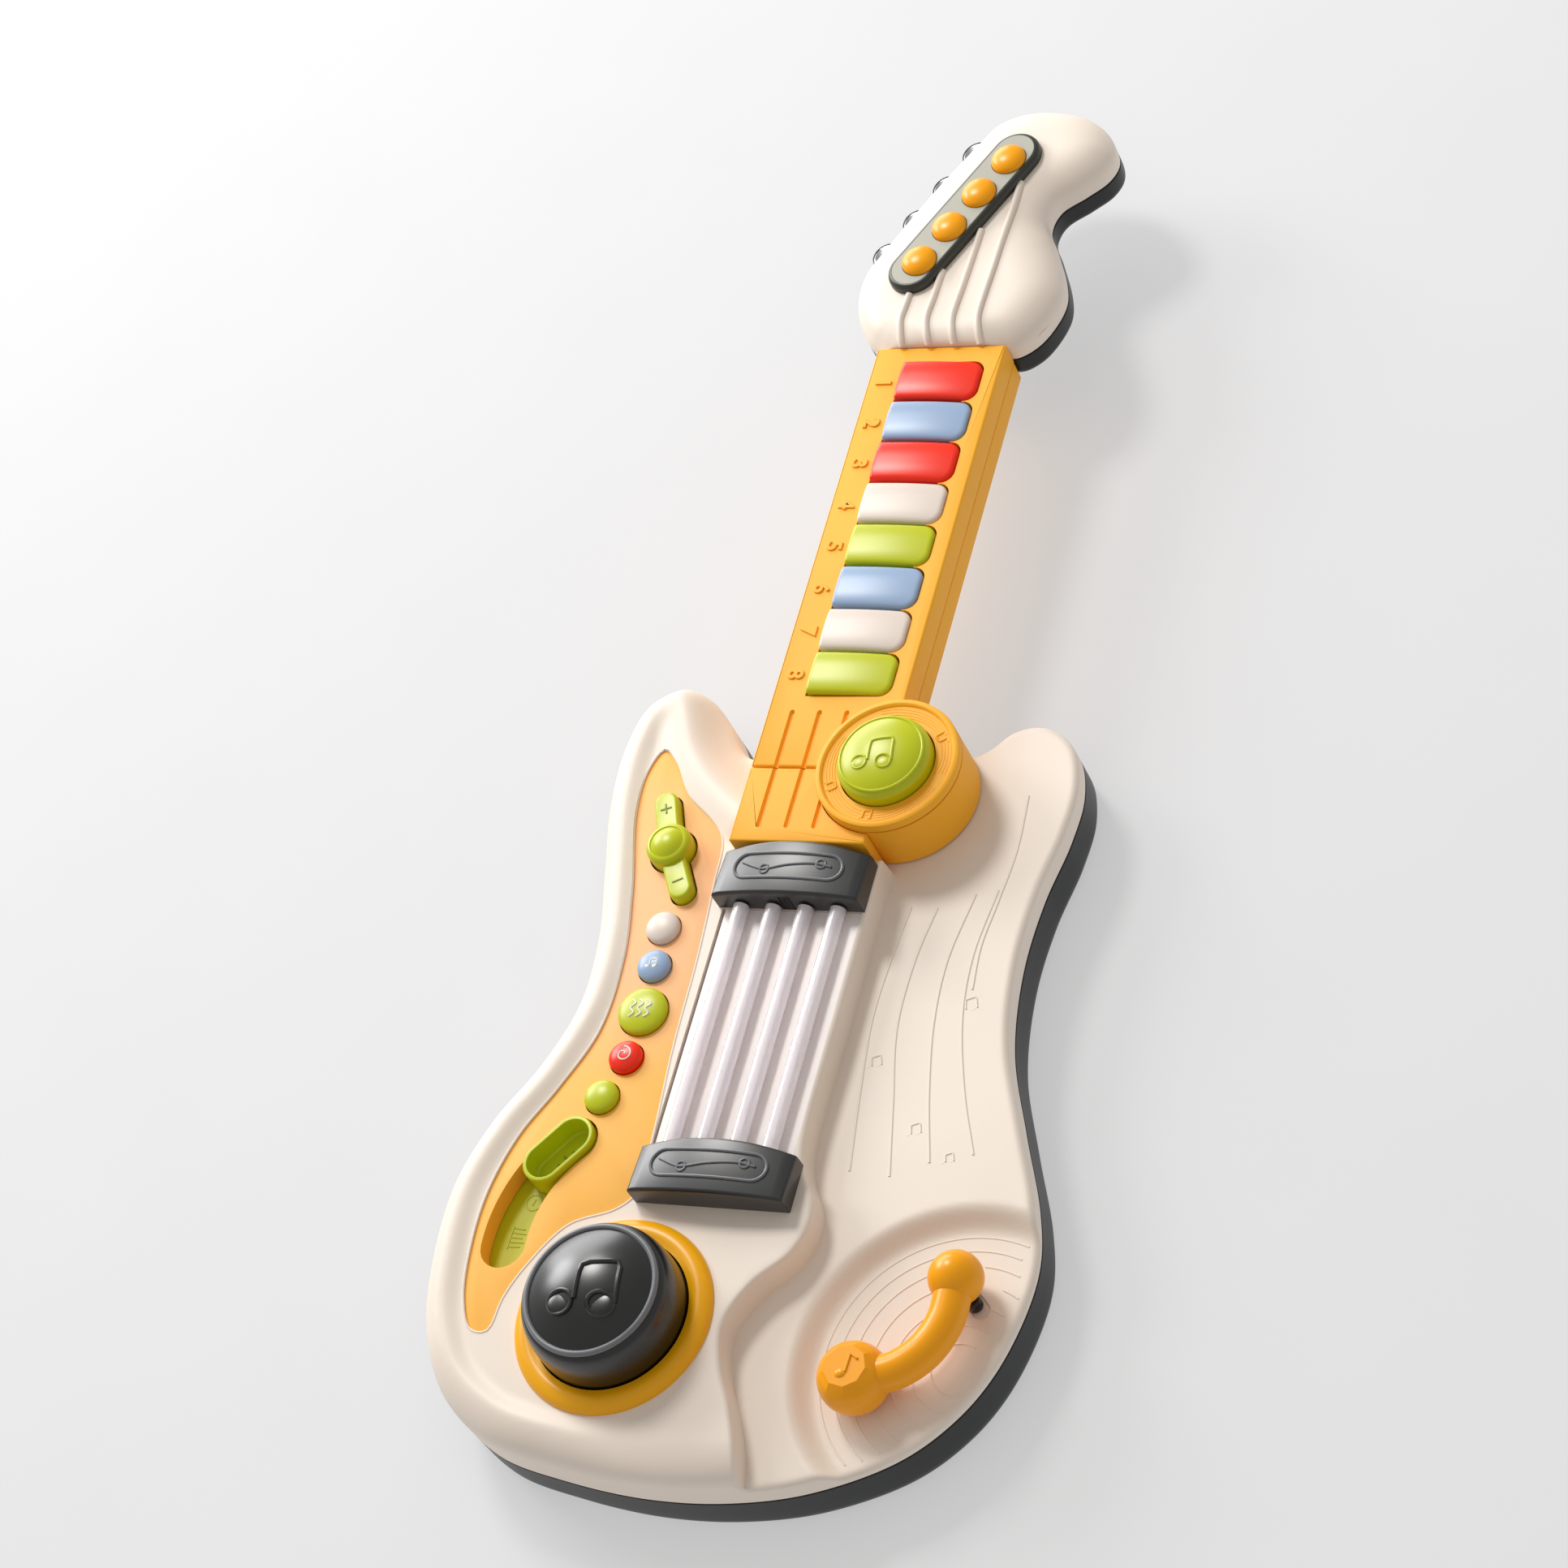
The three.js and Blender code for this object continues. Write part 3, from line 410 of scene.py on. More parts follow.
def blob(centre, radii, turn=0.0, rings=16, sides=32):
    """An ellipsoid, turned about the vertical."""
    profile = [(sin(pi * i / rings), -cos(pi * i / rings)) for i in range(rings + 1)]
    obj = turned("tool", 0, 0, profile, sides)
    obj.data.transform(Matrix.Translation(place(*centre)) @ Matrix.Rotation(turn, 4, "Z")
                       @ Matrix.Diagonal((*radii, 1)) @ Matrix.Translation((-PIVOT[0], -PIVOT[1], 0)))
    return obj


def fix_normals(obj):
    bm = bmesh.new()
    bm.from_mesh(obj.data)
    bmesh.ops.recalc_face_normals(bm, faces=bm.faces)
    bm.to_mesh(obj.data)
    bm.free()


def baked(obj):
    """The object's mesh as its modifiers, or its text settings, leave it."""
    return bpy.data.meshes.new_from_object(obj.evaluated_get(bpy.context.evaluated_depsgraph_get()))


def combine(obj, operation, *others):
    for other in others:
        tool = obj.modifiers.new("tool", "BOOLEAN")
        tool.object = other
        tool.operation = operation
        tool.solver = "MANIFOLD"
        mesh = baked(obj)
        obj.modifiers.clear()
        obj.data = mesh
        bpy.data.objects.remove(other)
    return obj


def cut(obj, *others):
    return combine(obj, "DIFFERENCE", *others)


def fuse(obj, *others):
    return combine(obj, "UNION", *others)


def merged(name, parts):
    """One object from several closed shells."""
    verts, faces = [], []
    for part in parts:
        start = len(verts)
        verts += [tuple(v.co) for v in part.data.vertices]
        faces += [tuple(start + i for i in f.vertices) for f in part.data.polygons]
        bpy.data.objects.remove(part)
    mesh = bpy.data.meshes.new(name)
    mesh.from_pydata(verts, [], faces)
    return in_scene(name, mesh)


def repaint(material, *objects):
    for obj in objects:
        obj.data.materials.clear()
        obj.data.materials.append(material)


def piece(obj, material, body, slot, *replaced, edge=0.0, angle=32):
    """Finishes a piece: shading, softened edges, material, and the CAD body it rides on."""
    repaint(material, obj)
    obj.data.polygons.foreach_set("use_smooth", [True] * len(obj.data.polygons))
    obj.data.set_sharp_from_angle(angle=radians(angle))
    if edge:
        soft = obj.modifiers.new("soft_edge", "BEVEL")
        soft.width = edge / 1000
        soft.segments = 2
        soft.limit_method = "ANGLE"
        soft.angle_limit = radians(40)
        soft.harden_normals = True
        soft.use_clamp_overlap = True
    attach(obj, body)
    if replaced:
        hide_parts(*replaced)


def height_body(name, loop, rows, grid, height, floor, lines=()):
    """A closed body with a flat floor at z = floor, whose top is height(points) over a loop.

    The top's mesh follows the loop in rows at the given depths, then the lines, then an even grid.
    """
    loop = np.asarray(loop)
    points = [tuple(p) for p in loop]
    edges = [(i, (i + 1) % len(loop)) for i in range(len(loop))]

    def add_line(line, closed, clear):
        keep = inside(line, loop) & (distance(line, loop, True) > clear)
        index = {}
        for i in np.flatnonzero(keep):
            index[i] = len(points)
            points.append(tuple(line[i]))
        for i in range(len(line) if closed else len(line) - 1):
            after = (i + 1) % len(line)
            if i in index and after in index:
                edges.append((index[i], index[after]))

    for depth in rows:
        add_line(inset(loop, depth), True, depth * 0.93)
    for line in lines:
        add_line(line, False, 0.25)
    low, high = loop.min(0), loop.max(0)
    gx, gy = np.meshgrid(np.arange(low[0], high[0], grid), np.arange(low[1], high[1], grid))
    gx[1::2] += grid / 2
    cells = np.stack([gx.ravel(), gy.ravel()], 1)
    cells = cells[inside(cells, loop)]
    cells = cells[distance(cells, loop, True) > rows[-1] + grid * 0.6]
    for line in lines:
        cells = cells[distance(cells, line) > grid * 0.55]
    points += [tuple(c) for c in cells]
    flat, _, faces, *_ = delaunay_2d_cdt([Vector(p) for p in points], edges, [], 1, 1e-5)
    flat = np.array([tuple(v) for v in flat])
    verts = [(x, y, h) for (x, y), h in zip(flat, height(flat))]
    sides = [(f[i], f[(i + 1) % len(f)]) for f in faces for i in range(len(f))]
    shared = set(sides)
    follows = {a: b for a, b in sides if (b, a) not in shared}
    rim = [next(iter(follows))]
    while follows[rim[-1]] != rim[0]:
        rim.append(follows[rim[-1]])
    foot = flat[rim]
    above = rim
    for z, loop_below in ((floor + 0.4, foot), (floor, inset(foot, 0.4))):
        below = list(range(len(verts), len(verts) + len(rim)))
        verts += lifted(loop_below, z)
        for i in range(len(rim)):
            faces.append((above[(i + 1) % len(rim)], above[i], below[i], below[(i + 1) % len(rim)]))
        above = below
    faces.append(tuple(above[::-1]))
    body = mesh_object(name, verts, faces)
    fix_normals(body)
    return body


# ---- shared shapes
BODY = smooth([
    (44.5, 32.5), (33, 30.5), (23.5, 21.5), (11, 17), (-12, 16), (-38, 15), (-58, 14), (-67.5, 15.5),
    (-77, 28), (-88.5, 39.5), (-98, 42.5), (-106.5, 38.8), (-113, 31.5), (-116.7, 12.5),
    (-114.8, -12.5), (-108.5, -40), (-102.6, -67), (-101.8, -94), (-109, -118), (-121, -141.5),
    (-128.2, -167.3), (-127, -198.5), (-121, -222.5), (-108, -244), (-87, -258.5), (-59.5, -265),
    (-27.8, -268.3), (1.4, -266.8), (29, -260.5), (57, -246.5), (72.5, -231), (82, -214),
    (87.9, -191.2), (88.6, -173.5), (84, -154.5), (72.4, -126.3), (60.8, -95.8), (56.3, -64),
    (57.5, -36), (61.8, -10.9), (62.3, 8), (56.5, 24.5)], 520)
STEP = smooth([
    (1.5, -31.6), (1.6, -90), (2.2, -146), (5.5, -155.5), (10.8, -164.5), (12, -174), (8.5, -185),
    (-2.5, -197), (-8.8, -212), (-6, -226), (2, -242), (7.5, -256), (11, -275)], 190, closed=False)
PANEL = smooth([
    (-97.2, 12.6), (-101.2, 3.7), (-100.8, -13.9), (-92.1, -48.2), (-87.2, -75.1), (-87.7, -104.9),
    (-96.6, -128.2), (-106.3, -148.1), (-111.4, -170.8), (-111, -192.7), (-107.5, -210.9),
    (-101.3, -222), (-94.9, -222.1), (-92.7, -209.7), (-88.6, -198.8), (-76.7, -180.8),
    (-60.2, -173.4), (-54.5, -167), (-54.8, -144.9), (-57.4, -109.9), (-58.5, -73.9),
    (-60.8, -43.8), (-63.5, -23.4), (-81.5, -6.5), (-90.6, 7.4)], 260)
CREST = smooth([
    (-99.5, 42), (-96.5, 35), (-92.6, 25.5), (-88, 15.5), (-81.5, 6), (-73, -2.5), (-64, -9.5),
    (-57.5, -14)], 60, closed=False)
HEAD_POINTS = [
    (7, 196.8), (11.7, 206), (13.6, 216), (11.3, 226), (4.5, 241), (-1, 252.5), (0.8, 262), (9.5, 269.5),
    (17, 277), (19.3, 285), (14.5, 295.8), (3.5, 304.5), (-14.8, 308.6), (-27, 306.5), (-34.8, 301.5),
    (-40, 293), (-53.3, 269), (-67.2, 239.5), (-71.3, 229.5), (-71.9, 219), (-68.3, 206.5), (-61, 196)]
HEAD = smooth([(-5, 190.8), (0.5, 191.6), *HEAD_POINTS, (-55, 191.2), (-50, 190.8)], 260)
HEAD_SIDES = smooth([(-2.4, 189.5), (2.5, 192.3), *HEAD_POINTS, (-56.5, 192), (-54, 189.5)], 240, False)
NECK_LEFT, NECK_RIGHT, NECK_TOP = -54.86, -1.98, 190.2
NECK_Z = 49.0
BARREL_R, SPINDLE_R = 27.0, 6.9
STRINGS = [-45.75, -33.25, -20.75, -8.25]
NECK_LINES = [-44.8, -33.9, -23.1]
PLATE_Z, RIDGE_Z, PARTING_Z = 28.4, 39.5, 19.7
DRUM, DRUM_HOLE = (-48.8, -213.3), 28.2
DISH, DISH_Z = (70, -214), 23.1
SLIDER = dict(x=-47.4, y=-184.7, r=52, start=135, end=186)
ROCKER, ROCKER_R, ROCKER_ARM_R = (-80.9, -30.6), 8.6, 4.5
ARM_HUB, ARM_BALL = (40, -224.8), (67.2, -187.4)
BUTTONS = [(-75, -63, 6.3, PALE, "cream_plastic"), (-73.9, -78.7, 6.2, BLUE, "blue_plastic"),
           (-72.8, -97.1, 9.2, LIME, "lime_plastic"), (-73.9, -115.6, 6.2, RED, "red_plastic"),
           (-78.6, -131.5, 6.3, LIME, "lime_plastic")]
BUTTON_SHOULDER, BUTTON_APEX = 40.6, 42.8
CASE_SCREWS = [(-107, 8), (47, 2), (-112, -204), (-10, -250)]
SHELL_WALL, WALL_ROUND, WALL_DRAFT = 2.4, 1.5, 0.5
UNDER, ABOVE = 28, 60  # levels below the raised half's roof and above every piece, for cutters


def pocket_line(offset):
    """The edge of the raised half, moved into it: down the neck's side, under the stub, down the step."""
    x0, y0 = -55.46 - offset, -31.5 - offset
    x1 = STEP[0, 0] - offset
    side = spaced([(x0, 60), (x0, y0)], 62, False)
    under = spaced([(x0, y0), (x1, y0)], 40, False)[1:-1]
    ahead = np.gradient(STEP, axis=0)
    left = np.stack([ahead[:, 1], -ahead[:, 0]], 1) / np.linalg.norm(ahead, axis=1)[:, None]
    step = STEP + left * offset
    return np.vstack([side, under, [(x1, y0)], step[step[:, 1] < y0]])


WALL = pocket_line(0)
RAISED = np.vstack([WALL, [(-250, -275), (-250, 60)]])


def body_height(points):
    """Height of the front shell's outer surface."""
    x, y = points[:, 0], points[:, 1]
    edge = distance(points, BODY, True)
    # the low plate, the dish in it and its rounded edge
    to_dish = np.hypot(x - DISH[0], y - DISH[1])
    plate = PLATE_Z - (PLATE_Z - DISH_Z) * (1 - ease(49.6, 57.4, to_dish)) - round_over(edge, 2.2)
    # the raised half: a bead round it and along the crest, and a scooped flank on the horn
    bead, scoop_z, scoop_width, foot = 2.0, 33.2, 17, 30.5
    crest = distance(points, CREST)
    flank = (x > np.interp(y, CREST[::-1, 1], CREST[::-1, 0])) & (y > -14.5)
    across = np.where(flank, crest, 0)
    fade = 1 - ease(-75, -20, x) * ease(-200, -240, y)
    rim_bead = (1 - ease(8.5, 16.5, edge)) * fade
    crest_bead = 1 - ease(2, 13, crest)
    top = RIDGE_Z + bead * (1 - (1 - rim_bead) * (1 - crest_bead))
    fall = 0.5 + 0.5 * np.cos(pi * np.clip(across / scoop_width, 0, 1))
    top = np.where(flank, scoop_z + (RIDGE_Z + bead - scoop_z) * fall, top)
    width = 9.0 + 5 * ease(-225, -255, y) - 5 * ease(0, 12, across)
    top = foot + (top - foot) * swell(edge / width, 2.2)
    # the wall between them
    wall = distance(points, WALL)
    drop = np.clip(wall / WALL_DRAFT, 0, 1)
    side = (1 - drop) * np.maximum(plate, top - WALL_ROUND) + drop * plate
    return np.where(inside(points, RAISED), np.maximum(plate, top - round_over(wall, WALL_ROUND)), side)


def control_cutters(spare, slot_half):
    """Openings for the slider, the rocker and the buttons."""
    hub = cylinder(*ROCKER, ROCKER_R + spare + 0.3, UNDER, ABOVE, 64)
    arms = [prism(racetrack(ROCKER, tip, ROCKER_ARM_R + spare + 0.3), UNDER, ABOVE)
            for tip, _ in rocker_arms()]
    return [prism(arc_slot(**SLIDER, half=slot_half), UNDER, ABOVE), fuse(hub, *arms),
            *[cylinder(x, y, r + spare, UNDER, ABOVE, 48) for x, y, r, *_ in BUTTONS]]


# ---- body
def body_front():
    rows = [0.12, 0.4, 0.85, 1.5, 2.3, 3.3, 4.6, 6.2]
    lines = [pocket_line(d) for d in (-WALL_DRAFT, 0.0, 0.15, 0.45, 0.9, WALL_ROUND)]
    shell = height_body("body_front", BODY, rows, 1.7, body_height, PARTING_Z, lines)
    lower_room = cut(prism(inset(BODY, SHELL_WALL), PARTING_Z - 1, 25.6), cylinder(*DISH, 61, 10, 40))
    upper_room = loft("tool", [
        (PARTING_Z - 1, inset(BODY, 2.6)), (29, inset(BODY, 2.6)), (34.6, inset(BODY, 6))])
    raised = np.vstack([STEP - (SHELL_WALL, 0), [(-200, -275), (-200, -34)]])[::-1]
    combine(upper_room, "INTERSECT", prism(raised, PARTING_Z - 2, 40))
    cut(shell, lower_room, upper_room,
        prism(inset(PANEL, -0.15), 37.3, ABOVE),
        box(-54.4, -0.3, -150.1, -53.4, 36.0, ABOVE),
        cylinder(*DRUM, DRUM_HOLE, UNDER, ABOVE),
        *control_cutters(0.5, 10.1),
        cylinder(0, 0, SPINDLE_R, 15, 32),
        cylinder(*ARM_HUB, 5.4, 18, 25, 48),
        prism(arc_slot(*ARM_HUB, 46.2, 44, 64, 3.2), 22.3, 25))
    piece(shell, CREAM, "body", "cream_plastic", "body_front_shell", angle=38)


def body_rear():
    outer = [(7 * dz, inset(BODY, 6.5 * d)) for d, dz in rounding(8)]
    shell = loft("body_rear", outer + [(12, BODY), (19.0, BODY), (19.3, inset(BODY, 0.35))])
    cut(shell, loft("tool", [
        (2.6, inset(BODY, 6.8)), (8, inset(BODY, SHELL_WALL)), (25, inset(BODY, SHELL_WALL))]))
    # the battery well, its screw post and the slots for the door's hooks
    x, y, half_x, half_y = -47, -122.5, 31.6, 28.1
    well = lambda wall, low, high: box(x - half_x - wall, x + half_x + wall, y - half_y - wall,
                                       y + half_y + wall, low, high)
    fuse(shell, well(1.6, 1, 19.3))
    cut(shell, well(0, -3, 17.7))
    fuse(shell, box(x - 3, x + 3, y + half_y - 4, y + half_y + 1, 2.7, 18))
    holes = [cylinder(x, y + half_y - 2, 1.3, 2, 14, 16)]
    for side in (-1, 1):
        ends = [(x + side * d, y - half_y - 4.5) for d in (9, 2)]
        holes.append(prism(racetrack(*ends, 1.2, 8), -1, 1))
    # the speaker's grille, a round field of slots
    speaker_x, speaker_y, grille_r, slot_pitch = 21, -100, 24.5, 7
    for row in range(-3, 4):
        across = row * slot_pitch
        half = sqrt(grille_r ** 2 - across ** 2)
        ends = [(speaker_x + side * half, speaker_y + across) for side in (-1, 1)]
        holes.append(prism(racetrack(*ends, 1.6, 8), -1, 4))
    for sx, sy in CASE_SCREWS:
        fuse(shell, cylinder(sx, sy, 5, 1.5, 19.2, 32))
        holes.append(turned("tool", sx, sy, [(0, -1), (3.4, -1), (3.4, 5), (1.7, 5), (1.7, 22), (0, 22)], 32))
    cut(shell, *holes)
    piece(shell, DARK, "body", "dark_plastic", "body_rear_shell", angle=34)


def control_panel():
    panel = rounded("control_panel", PANEL, 37.5, 39.0, top=0.3, steps=3)
    fuse(panel, prism(arc_slot(**SLIDER, half=9.7), 31.5, 38.6))
    cut(panel, *control_cutters(0.4, 8.5))
    piece(panel, PANEL_PRINT, "body", "orange_plastic", "control_panel", edge=0.2)
    bead = tube("panel_bead", lifted(inset(PANEL, -0.2), 39.3), 0.5, closed=True)
    piece(bead, CREAM, "body", "cream_plastic")


def dome(r, low, shoulder, apex, steps=12, power=1.0):
    """Profile of a button: a straight side, then a dome."""
    cap = [(r * cos(a) ** power, shoulder + (apex - shoulder) * sin(a)) for a in quarter(steps)[:-1]]
    return [(0, low), (r, low), (r, shoulder - 0.01), *cap, (0, apex)]


def dome_top(cx, cy, r, shoulder, apex):
    """The surface of a button's dome, as height(x, y)."""
    return lambda x, y: shoulder + (apex - shoulder) * sqrt(max(0, 1 - (hypot(x - cx, y - cy) / r) ** 2))


def double_note(name, centre, size, height, r, turn=0.0):
    """A raised pair of beamed notes on a surface given as height(x, y)."""
    c, s = cos(turn), sin(turn)
    at = lambda u, v: (centre[0] + (u * c - v * s) * size, centre[1] + (u * s + v * c) * size)
    stems = spaced([
        (-0.17, -0.42), (-0.23, 0.40), (-0.14, 0.5), (0.6, 0.64), (0.7, 0.58), (0.81, -0.4)], 14, False)
    parts = [relief([at(u, v) for u, v in stems], height, r)]
    for u, v in ((-0.53, -0.51), (0.49, -0.46)):
        x, y = at(u, v)
        parts.append(blob((x, y, height(x, y) - r * 0.4), (0.33 * size, 0.29 * size, r * 0.8),
                          turn + 0.35, 8, 28))
        if size > 6:
            rim = [(x + 0.31 * size * cos(a), y + 0.28 * size * sin(a)) for a in np.linspace(0, 6.2, 32)]
            parts.append(relief(rim, height, r * 0.8, r * 0.15, closed=True))
    return merged(name, parts)


def drum():
    x, y = DRUM
    bezel = turned("drum_bezel", x, y, [
        (0, 39.3), (35.9, 39.3), (35.9, 40.2), (35.4, 41.3), (34.4, 42.3), (33.0, 43.0), (31.4, 43.3),
        (29.8, 43.1), (28.2, 42.4), (0, 42.4)], 128)
    cut(bezel, cylinder(x, y, DRUM_HOLE - 0.1, 36, 46, 128))
    piece(bezel, YELLOW, "body", "orange_plastic", "drum_bezel")
    r, waist, brow, apex, reach = 27.5, 46, 59.3, 66.8, 23.6
    ball = (reach ** 2 + (apex - brow) ** 2) / (2 * (apex - brow))
    surface = lambda px, py: apex - ball + sqrt(ball ** 2 - min(reach, hypot(px - x, py - y)) ** 2)
    profile = [(0, 34), (r, 34), (r, waist)]
    profile += [(r - 3.7 * (1 - cos(a)) ** 1.2, waist + (brow - waist) * sin(a))
                for a in np.linspace(0.1, 1.5, 12)]
    profile += [(d, surface(x + d, y)) for d in np.linspace(reach, 1.2, 20)]
    pad = turned("drum_button", x, y, profile + [(0, apex)], 128)
    piece(pad, DRUM_BLACK, "drum", "dark_plastic", "drum_button")
    hoop = lifted(circle(x, y, 23.2, 128), surface, 0.1)
    piece(tube("drum_ring", hoop, 1.15, 12, closed=True), LINE_GREY, "drum", "dark_plastic")
    note = double_note("drum_note", (x + 1.2, y - 0.4), 14.4, surface, 1.0)
    piece(note, DRUM_BLACK, "drum", "dark_plastic")


def bridge(name, y_top, y_bottom, x0, x1, notch=()):
    """A low block with a crowned top; its upper edge bulges towards the neck."""
    low_edge, low_crown, high_edge, high_crown, bulge, round_r = 48.2, 2.8, 46.6, 4.8, 2.4, 1.2
    u = np.linspace(-1, 1, 28)
    xs = (x0 + x1) / 2 + u * (x1 - x0) / 2
    crown = 1 - u ** 2
    upper = np.stack([xs, y_top - bulge * (1 - crown)], 1)
    loop = np.vstack([np.stack([xs, np.full(28, y_bottom)], 1), upper[::-1]])
    top = np.concatenate([low_edge + low_crown * crown, (high_edge + high_crown * crown)[::-1]])
    rings = [(39.3, loop), (top - 1.6, loop)]
    rings += [(top - round_r * dz, inset(loop, round_r * d)) for dz, d in rounding(4)[1:]]
    verts, faces = skin(rings)
    n = len(loop)
    base = len(verts) - n
    faces += [(base + i, base + i + 1, base + n - 2 - i, base + n - 1 - i) for i in range(n // 2 - 1)]
    block = mesh_object(name, verts, faces)
    if notch:
        cut(block, box(*notch, y_bottom - 2, y_bottom + 3.1, 39.7, 47.8))
    piece(block, BRIDGE_GREY, "body", "dark_plastic", name, edge=0.35)

    def surface(x, y):
        c = 1 - ((x - (x0 + x1) / 2) / ((x1 - x0) / 2)) ** 2
        t = (y - y_bottom) / (y_top - y_bottom)
        return (1 - t) * (low_edge + low_crown * c) + t * (high_edge + high_crown * c)

    y = (y_top + y_bottom) / 2 + 0.4
    frame_loop = spaced(racetrack((x0 + 12, y), (x1 - 13, y), 5.0), 90, True)
    wave = smooth([(x0 + 10, y + 1.4), (x0 + 15, y - 0.6), (x0 + 19, y - 1.6), ((x0 + x1) / 2, y + 0.2),
                   (x1 - 18, y + 1.2), (x1 - 12, y + 0.4)], 50, False)
    parts = [relief(frame_loop, surface, 0.6, 0.1, closed=True), relief(wave, surface, 0.45, 0.1)]
    for spot in ((x0 + 19.5, y - 1.6), (x1 - 16, y + 1.2)):
        parts.append(relief(circle(*spot, 1.7, 28), surface, 0.42, 0.1, closed=True))
    piece(merged(name + "_relief", parts), LINE_GREY, "body", "dark_plastic")


def string_lights():
    for i, x in enumerate(STRINGS, 1):
        rod = tube(f"string_light_{i}", [(x, y, 42.0) for y in np.linspace(-149.4, -54.1, 12)], 2.9, 28)
        piece(rod, ROD, "body", "clear_plastic", f"string_light_{i}")


def buttons():
    for i, (x, y, r, material, slot) in enumerate(BUTTONS, 1):
        button = turned(f"panel_button_{i}", x, y, dome(r, 33.8, BUTTON_SHOULDER, BUTTON_APEX, 10), 48)
        piece(button, material, f"panel_button_{i}", slot, f"panel_button_{i}")
    tops = [dome_top(x, y, r, BUTTON_SHOULDER, BUTTON_APEX) for x, y, r, *_ in BUTTONS]
    note = double_note("button_2_note", BUTTONS[1][:2], 2.6, tops[1], 0.25)
    piece(note, PRINT_WHITE, "panel_button_2", "blue_plastic")
    x, y = BUTTONS[2][:2]
    waves = []
    for cx in (x - 2.9, x, x + 2.9):
        path = smooth([(cx - 1.0, y + 3.4), (cx + 0.8, y + 1.9), (cx - 0.8, y), (cx + 0.8, y - 1.9),
                       (cx - 0.8, y - 3.4)], 24, False)
        waves.append(relief(path, tops[2], 0.34, 0.05, 6))
    piece(merged("button_3_waves", waves), PRINT_WHITE, "panel_button_3", "lime_plastic")
    x, y = BUTTONS[3][:2]
    swirl = [(x + (0.6 + a * 0.32) * cos(a), y + (0.6 + a * 0.32) * sin(a)) for a in np.linspace(0, 8, 40)]
    line = tube("button_4_swirl", lifted(swirl, tops[3], 0.05), 0.28, 6)
    piece(line, PRINT_WHITE, "panel_button_4", "red_plastic")


def rocker_arms():
    """For each arm: its tip and its direction. The two arms are bent to follow the panel."""
    for side, lean in ((1, 20.5), (-1, 28)):
        tilt = radians(lean)
        along = (-sin(tilt) * side, cos(tilt) * side)
        yield tuple(ROCKER[k] + 19.6 * along[k] for k in (0, 1)), along


def rocker():
    r, arm_z = ROCKER_R, 43.4
    hub = turned("volume_rocker", *ROCKER, [
        (0, 36.6), (r - 0.2, 36.6), (r, 37), (r, 43.6), (r - 0.2, 44.6), (r - 0.7, 45.4), (r - 1.4, 45.8),
        (r - 2.0, 45.9), (r - 2.3, 45.6), (5.4, 46.3), (4.2, 47.0), (2.6, 47.5), (1.2, 47.7), (0, 47.75)], 64)
    fuse(hub, *[rounded("tool", racetrack(ROCKER, tip, ROCKER_ARM_R), 36.6, arm_z, top=1.2)
                for tip, _ in rocker_arms()])
    piece(hub, LIME, "volume_rocker", "lime_plastic", "volume_rocker")
    marks = []
    for bars, (tip, (ax, ay)) in zip((2, 1), rocker_arms()):
        cx, cy = tip[0] - 3.2 * ax, tip[1] - 3.2 * ay
        for bx, by in ((ay, -ax), (ax, ay))[:bars]:
            marks.append(tube("tool", [(cx + t * bx, cy + t * by, arm_z) for t in (-2.1, 0, 2.1)], 0.42, 6))
    # painted shade: the rocker's marks are coloured a darker lime for the shade on their raised edges
    piece(merged("rocker_marks", marks), LIME_PAINTED_SHADE, "volume_rocker", "lime_plastic")


def on_track(heading, r=SLIDER["r"]):
    """A point on the slider's curved track, at a heading in degrees."""
    angle = radians(heading)
    return SLIDER["x"] + r * cos(angle), SLIDER["y"] + r * sin(angle)


def slider():
    at_rest, cup_floor, track_z = 142.4, 32.8, 31.25
    cx, cy = on_track(at_rest)
    ax, ay = -sin(radians(at_rest)), cos(radians(at_rest))
    ends = [(cx + side * 6.5 * ax, cy + side * 6.5 * ay) for side in (-1, 1)]
    cup = rounded("mode_slider", racetrack(*ends, 7.9, 24), 31.7, 41.4, top=0.6, steps=4)
    room = ((cup_floor, 5.4), (33.4, 5.9), (40.6, 6.3), (43, 6.6))
    cut(cup, loft("tool", [(z, racetrack(*ends, r, 24)) for z, r in room]))
    piece(cup, LIME, "mode_slider", "lime_plastic", "mode_slider", edge=0.25)
    marks = []
    for k, half in ((-1, 0.8), (0, 1.8), (1, 0.8)):
        x, y = cx + k * 3.4 * ax, cy + k * 3.4 * ay
        marks.append(tube("tool", [(x + t * ay, y - t * ax, cup_floor + 0.1) for t in (-half, half)], 0.4, 6))
    # painted shade: the marks on the cup's floor are coloured a darker lime for the shade on them
    piece(merged("slider_marks", marks), LIME_PAINTED_SHADE, "mode_slider", "lime_plastic")
    clock = circle(*on_track(163), 3.0, 28)
    lines = [(on_track(161.6), on_track(164.4)), [on_track(deg, 54.6) for deg in np.linspace(174, 183, 8)]]
    for k in range(5):
        heading = 174.6 + k * 1.9
        lines.append((on_track(heading, 50 - (k % 2) * 0.8), on_track(heading, 54)))
    icons = [relief(clock, track_z, 0.3, sides=6, closed=True)]
    icons += [relief(line, track_z, 0.3, sides=6) for line in lines]
    piece(merged("track_icons", icons), LIME, "body", "lime_plastic")


